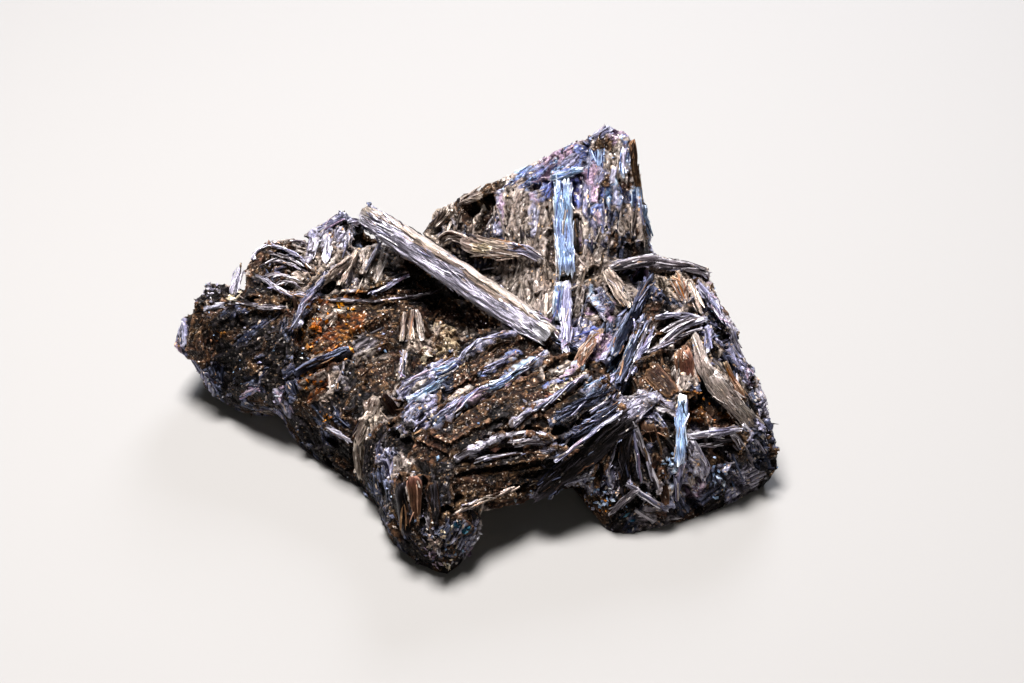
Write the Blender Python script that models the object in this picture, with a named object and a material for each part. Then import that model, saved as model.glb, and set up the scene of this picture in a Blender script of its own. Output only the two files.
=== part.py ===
"""Covellite specimen: one grown mass of dark, bladed copper sulphide, 77 mm across.

Every form is laid out from the display side of the specimen. A place is given by how far across
and up it appears, in millimetres, to an eye in front of the table, and by its height over the table.
The mass is a few big lumps joined in one solid, with its larger laths, blades and plates grown into
it and its hollows cut out of it. The underside is flat where it rests.
"""

import math
import random

import bmesh
import bpy
from mathutils import Matrix, Vector
from mathutils.bvhtree import BVHTree

NAME = "covellite_specimen"

# The eye that the layout is sighted from, in millimetres and degrees.
EYE_TILT = 40.0
EYE_DISTANCE = 231.0
EYE_TARGET = (5.4, 0.0, 15.0)

# The specimen, in millimetres.
SEED = 31
BASE_DROP = 2.0  # how far the lumps reach under the table before the flat rest is cut
FLOOR_SIZE = 120.0
FLAT_SIDES = 4
STOUT_SIDES = 6
MOST_SKEW = 0.55  # of a lath's broken end, as length over width
PIT_SIDES = 4
RIM_MARGIN = 2.0  # a loose lath stays this far under the outline
MOST_STRETCH = 1.25  # a loose lath longer than this, over its set length, spans a gap
MOST_TRIES = 12
CRYSTAL_COLOUR = (0.028, 0.026, 0.036, 1.0)
CRYSTAL_ROUGHNESS = 0.42
CRYSTAL_METALLIC = 0.75

TILT = math.radians(EYE_TILT)
SIGHT = Vector((0.0, math.cos(TILT), -math.sin(TILT)))
RIGHT = Vector((1.0, 0.0, 0.0))
UPWARD = Vector((0.0, math.sin(TILT), math.cos(TILT)))
EYE = Vector(EYE_TARGET) - EYE_DISTANCE * SIGHT


def seen(across, up, height):
    """The point at this height over the table that the eye sees at (across, up)."""
    ray = EYE_DISTANCE * SIGHT + across * RIGHT + up * UPWARD
    reach = (EYE.z - height) / -ray.z
    return EYE + reach * ray


def grounded(across, up):
    """A point of the table's surface, sunk so that the flat underside cuts cleanly."""
    point = seen(across, up, 0.0)
    point.z = -BASE_DROP
    return point


def plan(x, y, z):
    """A point on a side that the eye doesn't see, by its plan and height."""
    return Vector((x, y, z))


def clear_scene():
    for obj in list(bpy.data.objects):
        bpy.data.objects.remove(obj, do_unlink=True)


def new_collection(name):
    collection = bpy.data.collections.new(name)
    bpy.context.scene.collection.children.link(collection)
    return collection


def crystal_material():
    material = bpy.data.materials.new("covellite")
    material.use_nodes = True
    shader = material.node_tree.nodes["Principled BSDF"]
    shader.inputs["Base Color"].default_value = CRYSTAL_COLOUR
    shader.inputs["Roughness"].default_value = CRYSTAL_ROUGHNESS
    shader.inputs["Metallic"].default_value = CRYSTAL_METALLIC
    return material


def add_object(name, made, collection):
    """A mesh object from a bmesh in millimetres."""
    made.transform(Matrix.Scale(0.001, 4))
    bmesh.ops.recalc_face_normals(made, faces=made.faces)
    mesh = bpy.data.meshes.new(name)
    made.to_mesh(mesh)
    made.free()
    obj = bpy.data.objects.new(name, mesh)
    collection.objects.link(obj)
    return obj


def block(name, corners, collection):
    """A lump: the smallest convex solid that holds all its corners."""
    made = bmesh.new()
    for corner in corners:
        made.verts.new(corner)
    hull = bmesh.ops.convex_hull(made, input=made.verts)
    spare = {v for v in hull["geom_interior"] if isinstance(v, bmesh.types.BMVert)}
    bmesh.ops.delete(made, geom=list(spare), context="VERTS")
    return add_object(name, made, collection)


def frame_along(start, end, roll, eye):
    """A turned frame at mid-length: x runs along, y is the width, z the thickness.

    At roll 0 the broad face looks at the eye, and at 90 the narrow edge does.
    """
    along = (end - start).normalized()
    middle = (start + end) / 2
    wide = along.cross(middle - eye).normalized()
    wide = Matrix.Rotation(math.radians(roll), 3, along) @ wide
    thin = along.cross(wide)
    turned = Matrix((along, wide, thin)).transposed().to_4x4()
    return Matrix.Translation(middle) @ turned


def lath(start, end, width, thickness, roll, taper, eye, collection, sides=FLAT_SIDES):
    """A flat bar with skewed ends. taper is the far end's share of the near end's width."""
    made = bmesh.new()
    bmesh.ops.create_cone(
        made,
        cap_ends=True,
        segments=sides,
        radius1=0.5 / math.cos(math.pi / sides),
        radius2=0.5 * taper / math.cos(math.pi / sides),
        depth=1.0,
        matrix=Matrix.Rotation(math.radians(90), 4, "Y") @ Matrix.Rotation(math.pi / sides, 4, "Z"),
    )
    length = (end - start).length
    made.transform(Matrix.Diagonal((length, width, thickness, 1.0)))
    skews = [random.uniform(-MOST_SKEW, MOST_SKEW) for _ in range(2)]
    for vert in made.verts:
        vert.co.x += vert.co.y * skews[vert.co.x > 0]
    made.transform(frame_along(start, end, roll, eye))
    return add_object("lath", made, collection)


def lumps():
    """The big lumps that the mass is made of, each as the corners of a convex block."""
    return {
        "west_lobe": [
            seen(-37.3, -7.2, 2.2), seen(-33.6, -8.9, 1.8), seen(-30.4, -8.8, 1.4),
            seen(-39.2, -4.2, 4.2), seen(-40.5, -2.2, 6.2), seen(-40.9, 1.6, 10.0),
            seen(-39.6, 5.2, 12.6), seen(-37.4, 3.0, 14.6), seen(-33.0, 4.2, 15.8),
            seen(-28.0, 4.4, 16.2), seen(-27.0, -1.0, 13.6), seen(-29.0, -7.6, 8.4),
            seen(-38.0, 7.2, 13.4), seen(-35.0, 7.1, 14.6), plan(-34.5, 13.0, 3.0),
            plan(-33.0, 16.0, 6.0), plan(-30.0, 12.0, -2.0), plan(-20.0, 17.0, -2.0),
            plan(-26.0, 4.0, -2.0),
        ],
        "west_knob": [
            seen(-42.3, -0.6, 8.6), seen(-42.0, 1.1, 9.6), seen(-40.6, -2.4, 7.4),
            seen(-41.0, 3.2, 11.6), seen(-39.0, 0.0, 11.8), seen(-38.6, 4.2, 12.8),
            seen(-37.5, -3.0, 9.0), plan(-36.0, 14.0, 6.5),
        ],
        "west_mound": [
            seen(-33.0, 9.5, 16.2), seen(-31.6, 12.0, 17.2), seen(-28.6, 12.9, 17.9),
            seen(-26.0, 12.8, 18.0), seen(-24.6, 9.0, 17.4), seen(-26.4, 4.8, 16.6),
            seen(-33.6, 5.4, 15.8), plan(-28.0, 21.5, 6.0), plan(-20.0, 23.0, 6.0),
            plan(-27.0, 17.0, -2.0), plan(-18.0, 19.0, -2.0), plan(-20.0, 8.0, 0.0),
        ],
        "north_west_crest": [
            seen(-25.4, 13.0, 18.4), seen(-22.6, 15.4, 19.4), seen(-20.8, 16.4, 20.0),
            seen(-20.1, 14.4, 19.2), seen(-19.4, 12.0, 17.8), seen(-23.6, 8.4, 16.8),
            seen(-21.0, 7.0, 15.4), plan(-17.0, 25.0, 8.0), plan(-12.0, 23.0, 5.0),
            plan(-15.0, 20.0, -2.0), plan(-21.0, 21.0, 4.0),
        ],
        "saddle": [
            seen(-20.0, 11.4, 17.2), seen(-17.0, 12.4, 17.4), seen(-13.6, 12.6, 17.6),
            seen(-10.6, 12.8, 18.2), seen(-6.0, 7.6, 14.6), seen(-9.0, 6.0, 13.6),
            seen(-20.0, 6.2, 14.6), plan(-12.0, 23.5, 6.0), plan(-2.0, 25.0, 8.0),
            plan(-12.0, 20.0, -2.0), plan(0.0, 21.0, -2.0), plan(-12.0, 6.0, -2.0),
        ],
        "amber_lump": [
            seen(-26.8, 4.6, 15.4), seen(-20.0, 5.9, 14.9), seen(-12.0, 5.9, 14.2),
            seen(-9.0, 3.0, 12.8), seen(-10.6, -2.4, 11.9), seen(-14.5, -6.0, 11.6),
            seen(-17.0, -10.0, 11.0), seen(-22.0, -9.5, 10.0), seen(-26.8, -6.2, 9.6),
            seen(-29.2, -7.6, 6.6), seen(-28.9, -9.6, 2.2), grounded(-26.9, -12.0),
            grounded(-24.8, -14.4), grounded(-21.0, -16.9), grounded(-17.5, -19.2),
            seen(-27.6, -11.2, 2.0), plan(-18.0, 10.0, -2.0), plan(-8.0, 8.0, -2.0),
        ],
        "front_spur": [
            grounded(-8.4, -28.8), grounded(-11.6, -27.4), grounded(-14.2, -25.6),
            grounded(-15.6, -23.0), grounded(-17.2, -19.6), seen(-15.8, -22.6, 3.4),
            seen(-15.2, -16.0, 10.6), seen(-12.8, -16.4, 11.4), seen(-8.2, -17.0, 11.4),
            seen(-13.8, -21.8, 8.2), seen(-9.6, -22.2, 9.4), seen(-6.4, -22.6, 7.8),
            seen(-5.2, -26.3, 1.4), seen(-4.1, -24.2, 3.6), seen(-3.6, -22.5, 5.2),
            seen(-11.0, -26.2, 4.2), seen(-7.4, -26.8, 4.0), plan(1.0, -12.0, -2.0),
        ],
        "middle_floor": [
            seen(-14.0, -2.0, 11.6), seen(-6.0, 3.4, 13.2), seen(-3.0, -1.0, 13.0),
            seen(-15.4, -12.0, 11.0), seen(-9.0, -13.0, 12.0), seen(-8.0, 6.6, 13.8),
            plan(-10.0, -10.0, -2.0), plan(6.0, -8.0, -2.0), plan(-8.0, 8.0, -2.0),
            plan(8.0, 8.0, -2.0),
        ],
        "centre_ridge": [
            seen(-14.0, -6.6, 12.4), seen(-10.0, -4.0, 13.8), seen(-6.4, -2.6, 15.2),
            seen(-4.8, -0.8, 15.8), seen(-2.8, 0.8, 16.4), seen(0.6, 1.2, 17.0),
            seen(5.0, -1.0, 16.4), seen(9.0, -3.0, 15.8), seen(12.6, -6.0, 14.6),
            seen(14.0, -9.0, 13.4), seen(8.0, -11.4, 13.2), seen(5.0, -12.2, 13.2),
            seen(-2.6, -12.8, 13.2), seen(-7.2, -14.6, 12.4), seen(-13.4, -11.6, 11.8),
            plan(0.0, -12.0, 2.0), plan(14.0, -9.0, 3.0), plan(14.0, 4.0, 0.0),
        ],
        "brown_cliff": [
            seen(-8.0, -14.2, 12.0), seen(-2.4, -13.4, 12.9), seen(5.0, -13.0, 12.6),
            seen(8.6, -13.6, 11.6), seen(-8.2, -21.6, 3.8), seen(-3.2, -21.3, 3.8),
            seen(1.0, -20.2, 4.2), seen(4.6, -18.9, 4.6), seen(8.4, -17.4, 5.4),
            plan(-2.0, -13.0, -2.0), plan(6.0, -11.0, -2.0), plan(14.0, -9.0, 0.0),
            plan(0.0, -6.0, -2.0), plan(14.0, -4.0, -2.0),
        ],
        "east_foot": [
            grounded(14.0, -24.5), grounded(17.0, -23.8), grounded(20.5, -22.9),
            grounded(24.0, -21.7), grounded(27.6, -19.7), grounded(30.4, -18.2),
            seen(33.3, -15.9, 3.0), seen(12.2, -22.9, 1.0), seen(9.2, -20.4, 2.8),
            seen(9.8, -17.4, 6.4), seen(11.8, -15.2, 8.4), seen(15.0, -15.6, 9.0),
            seen(20.0, -16.4, 8.2), seen(25.0, -15.8, 7.6), seen(30.0, -13.8, 6.6),
            seen(33.2, -12.6, 6.6), seen(15.2, -9.6, 13.0), seen(18.0, -7.0, 14.0),
            seen(21.5, -7.8, 13.6), seen(27.5, -11.0, 10.8), seen(32.0, -8.6, 9.8),
            plan(12.0, -6.0, -2.0), plan(33.0, -2.0, -2.0), plan(36.0, 2.0, 4.0),
        ],
        "east_lump": [
            seen(15.0, -3.6, 15.2), seen(15.2, 4.0, 17.4), seen(17.2, 8.6, 19.2),
            seen(19.6, 9.4, 19.6), seen(23.6, 8.8, 18.8), seen(24.3, 7.6, 18.4),
            seen(24.4, 5.6, 18.0), seen(26.0, 3.6, 17.2), seen(27.3, 1.2, 16.0),
            seen(28.2, -1.4, 14.6), seen(29.7, -3.2, 13.2), seen(31.0, -5.8, 11.8),
            seen(31.9, -8.0, 10.4), seen(23.0, -5.0, 14.4), seen(16.0, -7.0, 14.0),
            plan(35.0, 6.0, 4.0), plan(30.0, 14.0, 4.0), plan(24.0, 17.0, -2.0),
            plan(33.0, 4.0, -2.0), plan(14.0, 2.0, -2.0),
        ],
        "shoulder": [
            seen(7.0, 2.0, 15.4), seen(11.0, 5.6, 17.2), seen(14.0, 8.4, 18.4),
            seen(16.2, 6.0, 17.6), seen(15.0, -4.0, 15.0), seen(10.4, -3.4, 15.2),
            seen(13.4, -6.4, 14.2), plan(10.0, 10.0, -2.0), plan(26.0, 14.0, -2.0),
            plan(14.0, -4.0, 0.0), plan(24.0, 18.0, 8.0),
        ],
        "fin": [
            seen(-11.2, 13.6, 19.2), seen(-9.6, 16.6, 21.0), seen(-5.0, 17.9, 22.8),
            seen(0.0, 19.8, 25.4), seen(3.2, 20.9, 27.0), seen(5.6, 22.6, 28.6),
            seen(9.0, 24.7, 30.8), seen(11.8, 27.0, 33.0), seen(12.9, 26.9, 32.8),
            seen(14.7, 26.0, 31.9),
            seen(15.6, 22.6, 29.0), seen(16.2, 18.0, 25.6), seen(16.8, 13.6, 22.0),
            seen(16.6, 11.0, 20.6), seen(12.0, 6.0, 17.4), seen(6.0, 0.4, 14.8),
            seen(-1.0, 5.4, 15.6), seen(-7.0, 9.4, 17.0), plan(-5.0, 25.4, 8.0),
            plan(9.0, 27.4, 9.0), plan(18.5, 27.6, 12.0), plan(22.6, 25.0, 9.0),
            plan(24.6, 20.0, 10.0),
        ],
        "fin_foot": [
            seen(-9.0, 10.0, 17.0), seen(5.0, 3.0, 14.6), seen(14.0, 8.0, 18.0),
            seen(-4.0, 14.0, 20.0), seen(10.0, 14.0, 22.0), plan(-7.0, 25.0, 7.0),
            plan(12.0, 26.8, 10.0), plan(22.0, 24.4, 9.0), plan(-6.0, 22.0, -2.0),
            plan(10.0, 25.0, -2.0), plan(21.0, 23.0, -2.0), plan(25.0, 18.0, -2.0),
            plan(4.0, 6.0, -2.0),
        ],
        "north_bank": [
            plan(-29.0, 19.0, 7.0), plan(-21.0, 22.6, 10.0), plan(-11.0, 24.2, 12.0),
            plan(1.0, 25.4, 12.0), plan(-28.0, 16.0, -2.0), plan(-19.0, 20.6, -2.0),
            plan(-8.0, 22.4, -2.0), plan(3.0, 23.4, -2.0), plan(-20.0, 10.0, -2.0),
            plan(3.0, 12.0, -2.0), plan(-22.0, 18.0, 13.0), plan(-8.0, 18.0, 15.0),
        ],
        "east_bank": [
            plan(24.0, 22.0, 12.0), plan(29.5, 14.0, 12.0), plan(24.0, 17.0, 16.0),
            plan(29.0, 13.0, -2.0), plan(25.0, 19.4, -2.0), plan(22.0, 10.0, 16.0),
            plan(20.0, 10.0, -2.0), plan(34.0, 6.0, 8.0), plan(32.0, 5.0, -2.0),
        ],
        "west_valley": [
            seen(-30.4, 4.4, 15.4), seen(-24.0, 5.0, 14.6), seen(-30.4, -5.6, 9.2),
            seen(-25.0, -7.0, 8.8), seen(-30.2, -8.7, 3.0), seen(-26.6, -11.4, 2.0),
            plan(-19.0, 6.0, -2.0), plan(-25.0, 6.0, -2.0), plan(-22.0, 14.0, -2.0),
        ],
        "crest_valley": [
            seen(-28.0, 11.4, 17.2), seen(-22.6, 12.4, 17.6), seen(-28.0, 4.6, 15.8),
            seen(-20.6, 5.8, 14.4), seen(-17.0, 11.2, 17.0), seen(-16.0, 6.4, 14.4),
            plan(-20.0, 21.0, 4.0), plan(-8.0, 21.0, 3.0), plan(-20.0, 11.0, -2.0),
            plan(-12.0, 12.0, -2.0),
        ],
        "spur_neck": [
            seen(-18.4, -9.8, 10.4), seen(-12.6, -8.0, 11.6), seen(-18.6, -16.6, 6.0),
            seen(-11.0, -17.2, 10.8), seen(-6.6, -15.4, 11.8), seen(-6.6, -20.4, 7.2),
            grounded(-18.4, -18.6), grounded(-14.4, -22.6), plan(-6.0, -10.0, -2.0),
            plan(2.0, -12.0, -2.0),
        ],
        "east_neck": [
            seen(8.6, -7.0, 13.8), seen(15.4, -6.6, 13.9), seen(12.6, -14.4, 10.2),
            seen(7.6, -15.2, 9.6), seen(9.6, -18.0, 6.0), seen(17.4, -12.4, 11.6),
            plan(11.0, -11.0, 0.0), plan(20.0, -8.0, -2.0), plan(14.0, 0.0, -2.0),
        ],
        "east_valley": [
            seen(16.4, -8.4, 13.5), seen(16.4, -3.2, 14.8), seen(28.0, -9.0, 11.2),
            seen(30.6, -6.6, 11.3), seen(31.9, -8.6, 9.6), seen(25.0, -4.0, 14.0),
            plan(34.0, -2.0, 0.0), plan(20.0, 0.0, -2.0), plan(33.0, 4.0, 0.0),
        ],
        "fin_valley": [
            seen(0.0, 1.0, 15.9), seen(6.0, 4.0, 15.2), seen(13.0, 3.6, 16.2),
            seen(15.4, 6.0, 17.0), seen(14.6, -4.6, 14.7), seen(9.6, -5.4, 14.6),
            seen(16.8, 3.0, 16.4), plan(6.0, 4.0, -2.0), plan(20.0, 4.0, -2.0),
            plan(20.0, 14.0, -2.0),
        ],
    }


def join_all(name, pieces, collection):
    """One solid from a collection of overlapping pieces."""
    first = pieces.objects[0]
    joined = bpy.data.objects.new(name, first.data.copy())
    collection.objects.link(joined)
    bpy.data.objects.remove(first)
    union = joined.modifiers.new("grown together", "BOOLEAN")
    union.operation = "UNION"
    union.operand_type = "COLLECTION"
    union.collection = pieces
    return joined


def surface_of(obj):
    """A search tree of the surface of an object's modelled form, in millimetres."""
    bpy.context.view_layer.update()
    formed = obj.evaluated_get(bpy.context.evaluated_depsgraph_get())
    made = bmesh.new()
    made.from_mesh(formed.to_mesh())
    made.transform(Matrix.Scale(1000.0, 4))
    tree = BVHTree.FromBMesh(made)
    made.free()
    formed.to_mesh_clear()
    return tree


class Side:
    """One side of the mass, as an eye sees it: where crystals are laid on its surface."""

    def __init__(self, surface, eye, sight, right, upward):
        self.surface = surface
        self.eye = eye
        self.sight = sight
        self.right = right
        self.upward = upward

    def strike(self, across, up):
        """The point of the surface seen at (across, up), and the direction it is seen in."""
        ray = EYE_DISTANCE * self.sight + across * self.right + up * self.upward
        ray.normalize()
        return self.surface.ray_cast(self.eye, ray)[0], ray

    def on(self, across, up, lift=0.0):
        """The point of the surface seen at (across, up), raised by lift toward the eye."""
        struck, ray = self.strike(across, up)
        if struck is None:
            raise ValueError(f"nothing is seen at {across}, {up}")
        return struck - lift * ray


def display_side(surface):
    return Side(surface, EYE, SIGHT, RIGHT, UPWARD)


def turned_side(surface, turn, tilt):
    """The side seen from further round the table: turn is in degrees, anticlockwise."""
    spin = Matrix.Rotation(math.radians(turn), 3, "Z")
    drop = math.radians(tilt)
    sight = spin @ Vector((0.0, math.cos(drop), -math.sin(drop)))
    upward = spin @ Vector((0.0, math.sin(drop), math.cos(drop)))
    eye = Vector((0.0, 0.0, EYE_TARGET[2])) - EYE_DISTANCE * sight
    return Side(surface, eye, sight, spin @ RIGHT, upward)


def lay_laths(side, rows, collection):
    """Laths laid on a side. A row is the near end, the far end, the width, the thickness,
    the roll and the taper. An end is (across, up, lift off the surface)."""
    for near, far, width, thickness, roll, taper in rows:
        lath(side.on(*near), side.on(*far), width, thickness, roll, taper, side.eye, collection)


def lay_chain(side, points, width, thickness, roll, lift, collection):
    """A bent flake or rib: short laths end to end along a line of (across, up) points."""
    places = [side.on(across, up, lift) for across, up in points]
    overlap = 0.12 * width
    for start, end in zip(places, places[1:]):
        along = (end - start).normalized() * overlap
        lath(start - along, end + along, width, thickness, roll, 0.92, side.eye, collection)


# Laths that stand free of the surface, as (across, up, height) of each end.
FREE_LATHS = (
    ((-18.1, 15.8, 22.0), (4.5, 0.8, 17.2), 3.2, 2.3, 12.0, 1.06),
    ((-17.9, 14.9, 21.4), (-1.6, 3.6, 17.6), 1.6, 1.5, -30.0, 1.2),
    ((-16.8, 16.0, 21.9), (-4.0, 7.9, 18.8), 1.3, 1.2, 40.0, 1.1),
    ((3.0, 1.2, 17.4), (5.6, -1.0, 16.6), 1.9, 1.2, 30.0, 0.6),
    ((12.3, 9.3, 20.0), (18.4, 9.9, 20.3), 1.9, 0.8, 20.0, 1.3),
    ((17.6, 9.9, 20.3), (24.7, 8.5, 19.0), 2.1, 0.9, -15.0, 0.6),
    ((-34.6, 6.4, 15.2), (-33.8, 10.0, 17.0), 1.0, 0.7, 20.0, 0.5),
)


def west_laths(side, collection):
    """The swirl of thin plates on the western mound, the knob's crust and the dark face."""
    arcs = (
        ((-32.6, 8.4), (-31.6, 10.8), (-29.6, 12.0), (-27.2, 12.2)),
        ((-31.4, 7.4), (-29.8, 9.5), (-27.4, 10.4), (-25.4, 9.8)),
        ((-30.0, 6.8), (-28.0, 8.1), (-25.8, 8.2)),
        ((-33.0, 6.2), (-30.2, 6.0), (-27.2, 5.6)),
        ((-38.0, 6.3), (-36.2, 6.5), (-35.0, 6.2)),
        ((-37.6, 2.6), (-35.6, 3.6), (-32.8, 4.3)),
        ((-32.2, 4.4), (-29.4, 4.5), (-27.4, 4.0)),
    )
    for points in arcs:
        lay_chain(side, points, 1.9, 0.7, -38.0, 0.4, collection)
    ridge = ((-27.6, 1.4), (-26.2, 5.0), (-24.8, 7.2), (-23.2, 9.2))
    lay_chain(side, ridge, 1.6, 1.0, 15.0, 0.5, collection)
    rows = (
        ((-37.2, -2.4, 0.3), (-32.0, -0.2, 0.2), 1.6, 0.8, 40.0, 0.6),
        ((-34.2, -4.2, 0.2), (-29.6, -2.2, 0.3), 1.8, 0.9, 35.0, 0.8),
        ((-35.2, -6.4, 0.3), (-30.6, -5.2, 0.3), 1.6, 0.8, 30.0, 0.6),
        ((-38.8, -2.2, 0.3), (-36.2, -6.2, 0.3), 1.6, 0.8, 20.0, 0.8),
        ((-40.2, -1.2, 0.3), (-39.4, 3.2, 0.3), 1.6, 1.0, 0.0, 0.8),
        ((-39.4, 4.2, 0.4), (-37.0, 4.6, 0.4), 1.9, 1.1, 10.0, 0.8),
    )
    lay_laths(side, rows, collection)


def crest_laths(side, collection):
    """The pale laths of the north-west crest, and those that lean in the saddle's shadow."""
    rows = (
        ((-25.2, 12.8, 0.3), (-20.9, 15.9, 0.3), 1.6, 0.9, 0.0, 0.7),
        ((-24.8, 10.4, 0.4), (-22.6, 14.6, 0.4), 2.0, 0.9, 10.0, 0.8),
        ((-23.2, 9.4, 0.4), (-21.2, 14.6, 0.4), 1.7, 1.0, -15.0, 0.8),
        ((-24.3, 6.9, 0.7), (-20.2, 10.4, 1.0), 1.3, 0.7, 20.0, 0.8),
        ((-21.8, 9.6, 0.4), (-20.4, 13.6, 0.5), 1.5, 0.7, 25.0, 0.8),
        ((-21.4, 7.2, 0.4), (-19.6, 11.2, 0.6), 1.6, 0.7, -20.0, 0.7),
        ((-18.8, 8.3, 0.6), (-17.2, 11.8, 0.8), 0.9, 0.8, 50.0, 0.9),
        ((-17.6, 6.5, 0.5), (-12.6, 8.8, 0.7), 1.1, 0.8, 50.0, 0.8),
        ((-17.0, 7.4, 0.3), (-16.0, 11.2, 0.4), 1.3, 0.8, 10.0, 0.7),
        ((-21.6, 6.2, 0.4), (-16.0, 5.9, 0.5), 1.0, 0.7, 50.0, 0.8),
        ((-14.4, 6.0, 0.5), (-9.2, 6.4, 0.6), 1.2, 0.6, 60.0, 0.8),
        ((-16.0, 4.6, 0.4), (-11.0, 5.0, 0.5), 1.3, 0.6, 50.0, 0.8),
    )
    lay_laths(side, rows, collection)


def amber_laths(side, collection):
    """Short overlapping plates of the amber lump, and the steep wall below them."""
    rows = (
        ((-26.7, 1.9, 0.4), (-24.2, 4.2, 0.5), 2.0, 0.9, 25.0, 0.8),
        ((-25.0, 0.8, 0.3), (-21.4, 3.4, 0.4), 2.2, 0.8, 20.0, 0.8),
        ((-27.0, -3.8, 0.4), (-20.6, -0.9, 0.5), 1.5, 1.0, 35.0, 0.7),
        ((-20.2, 0.8, 0.3), (-15.4, 3.2, 0.4), 1.7, 0.8, 20.0, 0.8),
        ((-19.8, -2.4, 0.3), (-15.0, -0.4, 0.4), 1.8, 0.8, 25.0, 0.8),
        ((-26.6, -6.0, 0.3), (-23.2, -4.2, 0.5), 2.2, 0.9, 20.0, 0.7),
        ((-25.8, -8.4, 0.3), (-22.2, -6.6, 0.4), 1.9, 0.9, 15.0, 0.8),
        ((-21.8, -6.6, 0.4), (-20.4, -2.2, 0.5), 1.4, 0.9, 30.0, 0.7),
        ((-20.4, -8.8, 0.3), (-18.6, -3.8, 0.4), 1.6, 0.9, -20.0, 0.8),
        ((-28.0, -3.0, 0.3), (-27.2, -7.8, 0.3), 1.7, 0.9, 10.0, 0.7),
        ((-27.4, 2.2, 0.3), (-27.8, -2.4, 0.3), 1.6, 0.9, 0.0, 0.8),
        ((-26.6, -10.2, 0.3), (-25.2, -13.2, 0.3), 1.7, 0.9, 0.0, 0.8),
        ((-23.6, -10.3, 0.7), (-19.8, -12.7, 0.8), 1.0, 0.7, 20.0, 0.7),
        ((-24.6, -13.9, 0.5), (-22.2, -13.0, 0.5), 1.3, 0.7, 10.0, 0.8),
        ((-22.0, -14.8, 0.4), (-19.4, -17.0, 0.3), 1.4, 0.9, 10.0, 0.7),
        ((-16.8, -7.0, 0.5), (-19.4, -12.6, 0.6), 1.7, 0.8, 20.0, 0.8),
        ((-19.2, -12.6, 0.4), (-18.8, -17.2, 0.4), 1.7, 0.9, -15.0, 0.7),
        ((-16.6, -10.6, 0.4), (-14.8, -14.2, 0.5), 1.6, 0.8, 10.0, 0.8),
        ((-16.2, -14.4, 0.3), (-17.0, -19.0, 0.3), 1.6, 0.9, 20.0, 0.8),
    )
    lay_laths(side, rows, collection)
    for step in range(4):
        up = -7.0 - 1.2 * step
        near = side.on(-16.3, up, 0.3)
        far = side.on(-13.8, up - 0.5, 0.5)
        lath(near, far, 0.9, 0.45, 65.0, 0.8, side.eye, collection)


def spur_laths(side, collection):
    """The front spur: one standing brown plate, dark laths and a crumbly nose."""
    rows = (
        ((-12.2, -17.0, 0.8), (-12.0, -22.6, 0.8), 2.3, 0.6, 8.0, 0.5),
        ((-13.7, -18.2, 0.7), (-13.1, -24.0, 0.6), 1.9, 1.4, -20.0, 0.9),
        ((-16.0, -21.6, 0.3), (-14.2, -20.8, 0.4), 1.8, 0.8, 0.0, 0.8),
        ((-15.0, -22.4, 0.3), (-12.6, -25.8, 0.3), 1.8, 1.0, 20.0, 0.7),
        ((-10.2, -16.8, 0.4), (-9.8, -21.4, 0.5), 1.6, 0.9, 30.0, 0.8),
        ((-8.4, -15.2, 0.5), (-8.2, -20.6, 0.4), 2.0, 1.2, 25.0, 0.8),
        ((-10.4, -22.4, 0.3), (-8.2, -23.8, 0.4), 1.8, 1.3, 0.0, 0.8),
        ((-9.6, -24.2, 0.4), (-8.8, -26.4, 0.4), 1.9, 1.3, 0.0, 0.8),
        ((-7.2, -22.4, 0.4), (-5.0, -23.8, 0.4), 1.9, 1.2, 10.0, 0.8),
    )
    lay_laths(side, rows, collection)


def valley_laths(side, collection):
    """The sheltered floor between the lumps: small upright laths and a grainy crust."""
    rows = (
        ((-13.8, 0.2, 0.3), (-13.4, 3.6, 0.4), 0.9, 0.6, 30.0, 0.8),
        ((-12.7, 0.2, 0.4), (-12.5, 3.9, 0.5), 0.9, 0.6, 40.0, 0.8),
        ((-11.3, 0.1, 0.3), (-12.0, 3.8, 0.5), 0.9, 0.6, -30.0, 0.8),
        ((-13.4, -1.0, 0.4), (-13.7, -4.8, 0.4), 1.1, 0.7, 20.0, 0.8),
        ((-12.2, -1.4, 0.3), (-11.8, -4.2, 0.3), 1.0, 0.7, -20.0, 0.8),
        ((-9.4, 1.7, 0.4), (-7.0, 0.5, 0.5), 2.2, 1.5, 0.0, 0.8),
        ((-8.6, -0.4, 0.4), (-6.4, -1.5, 0.4), 2.0, 1.4, 0.0, 0.8),
        ((-11.4, -1.4, 0.4), (-10.0, -2.0, 0.4), 1.4, 1.2, 0.0, 0.8),
    )
    lay_laths(side, rows, collection)


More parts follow.
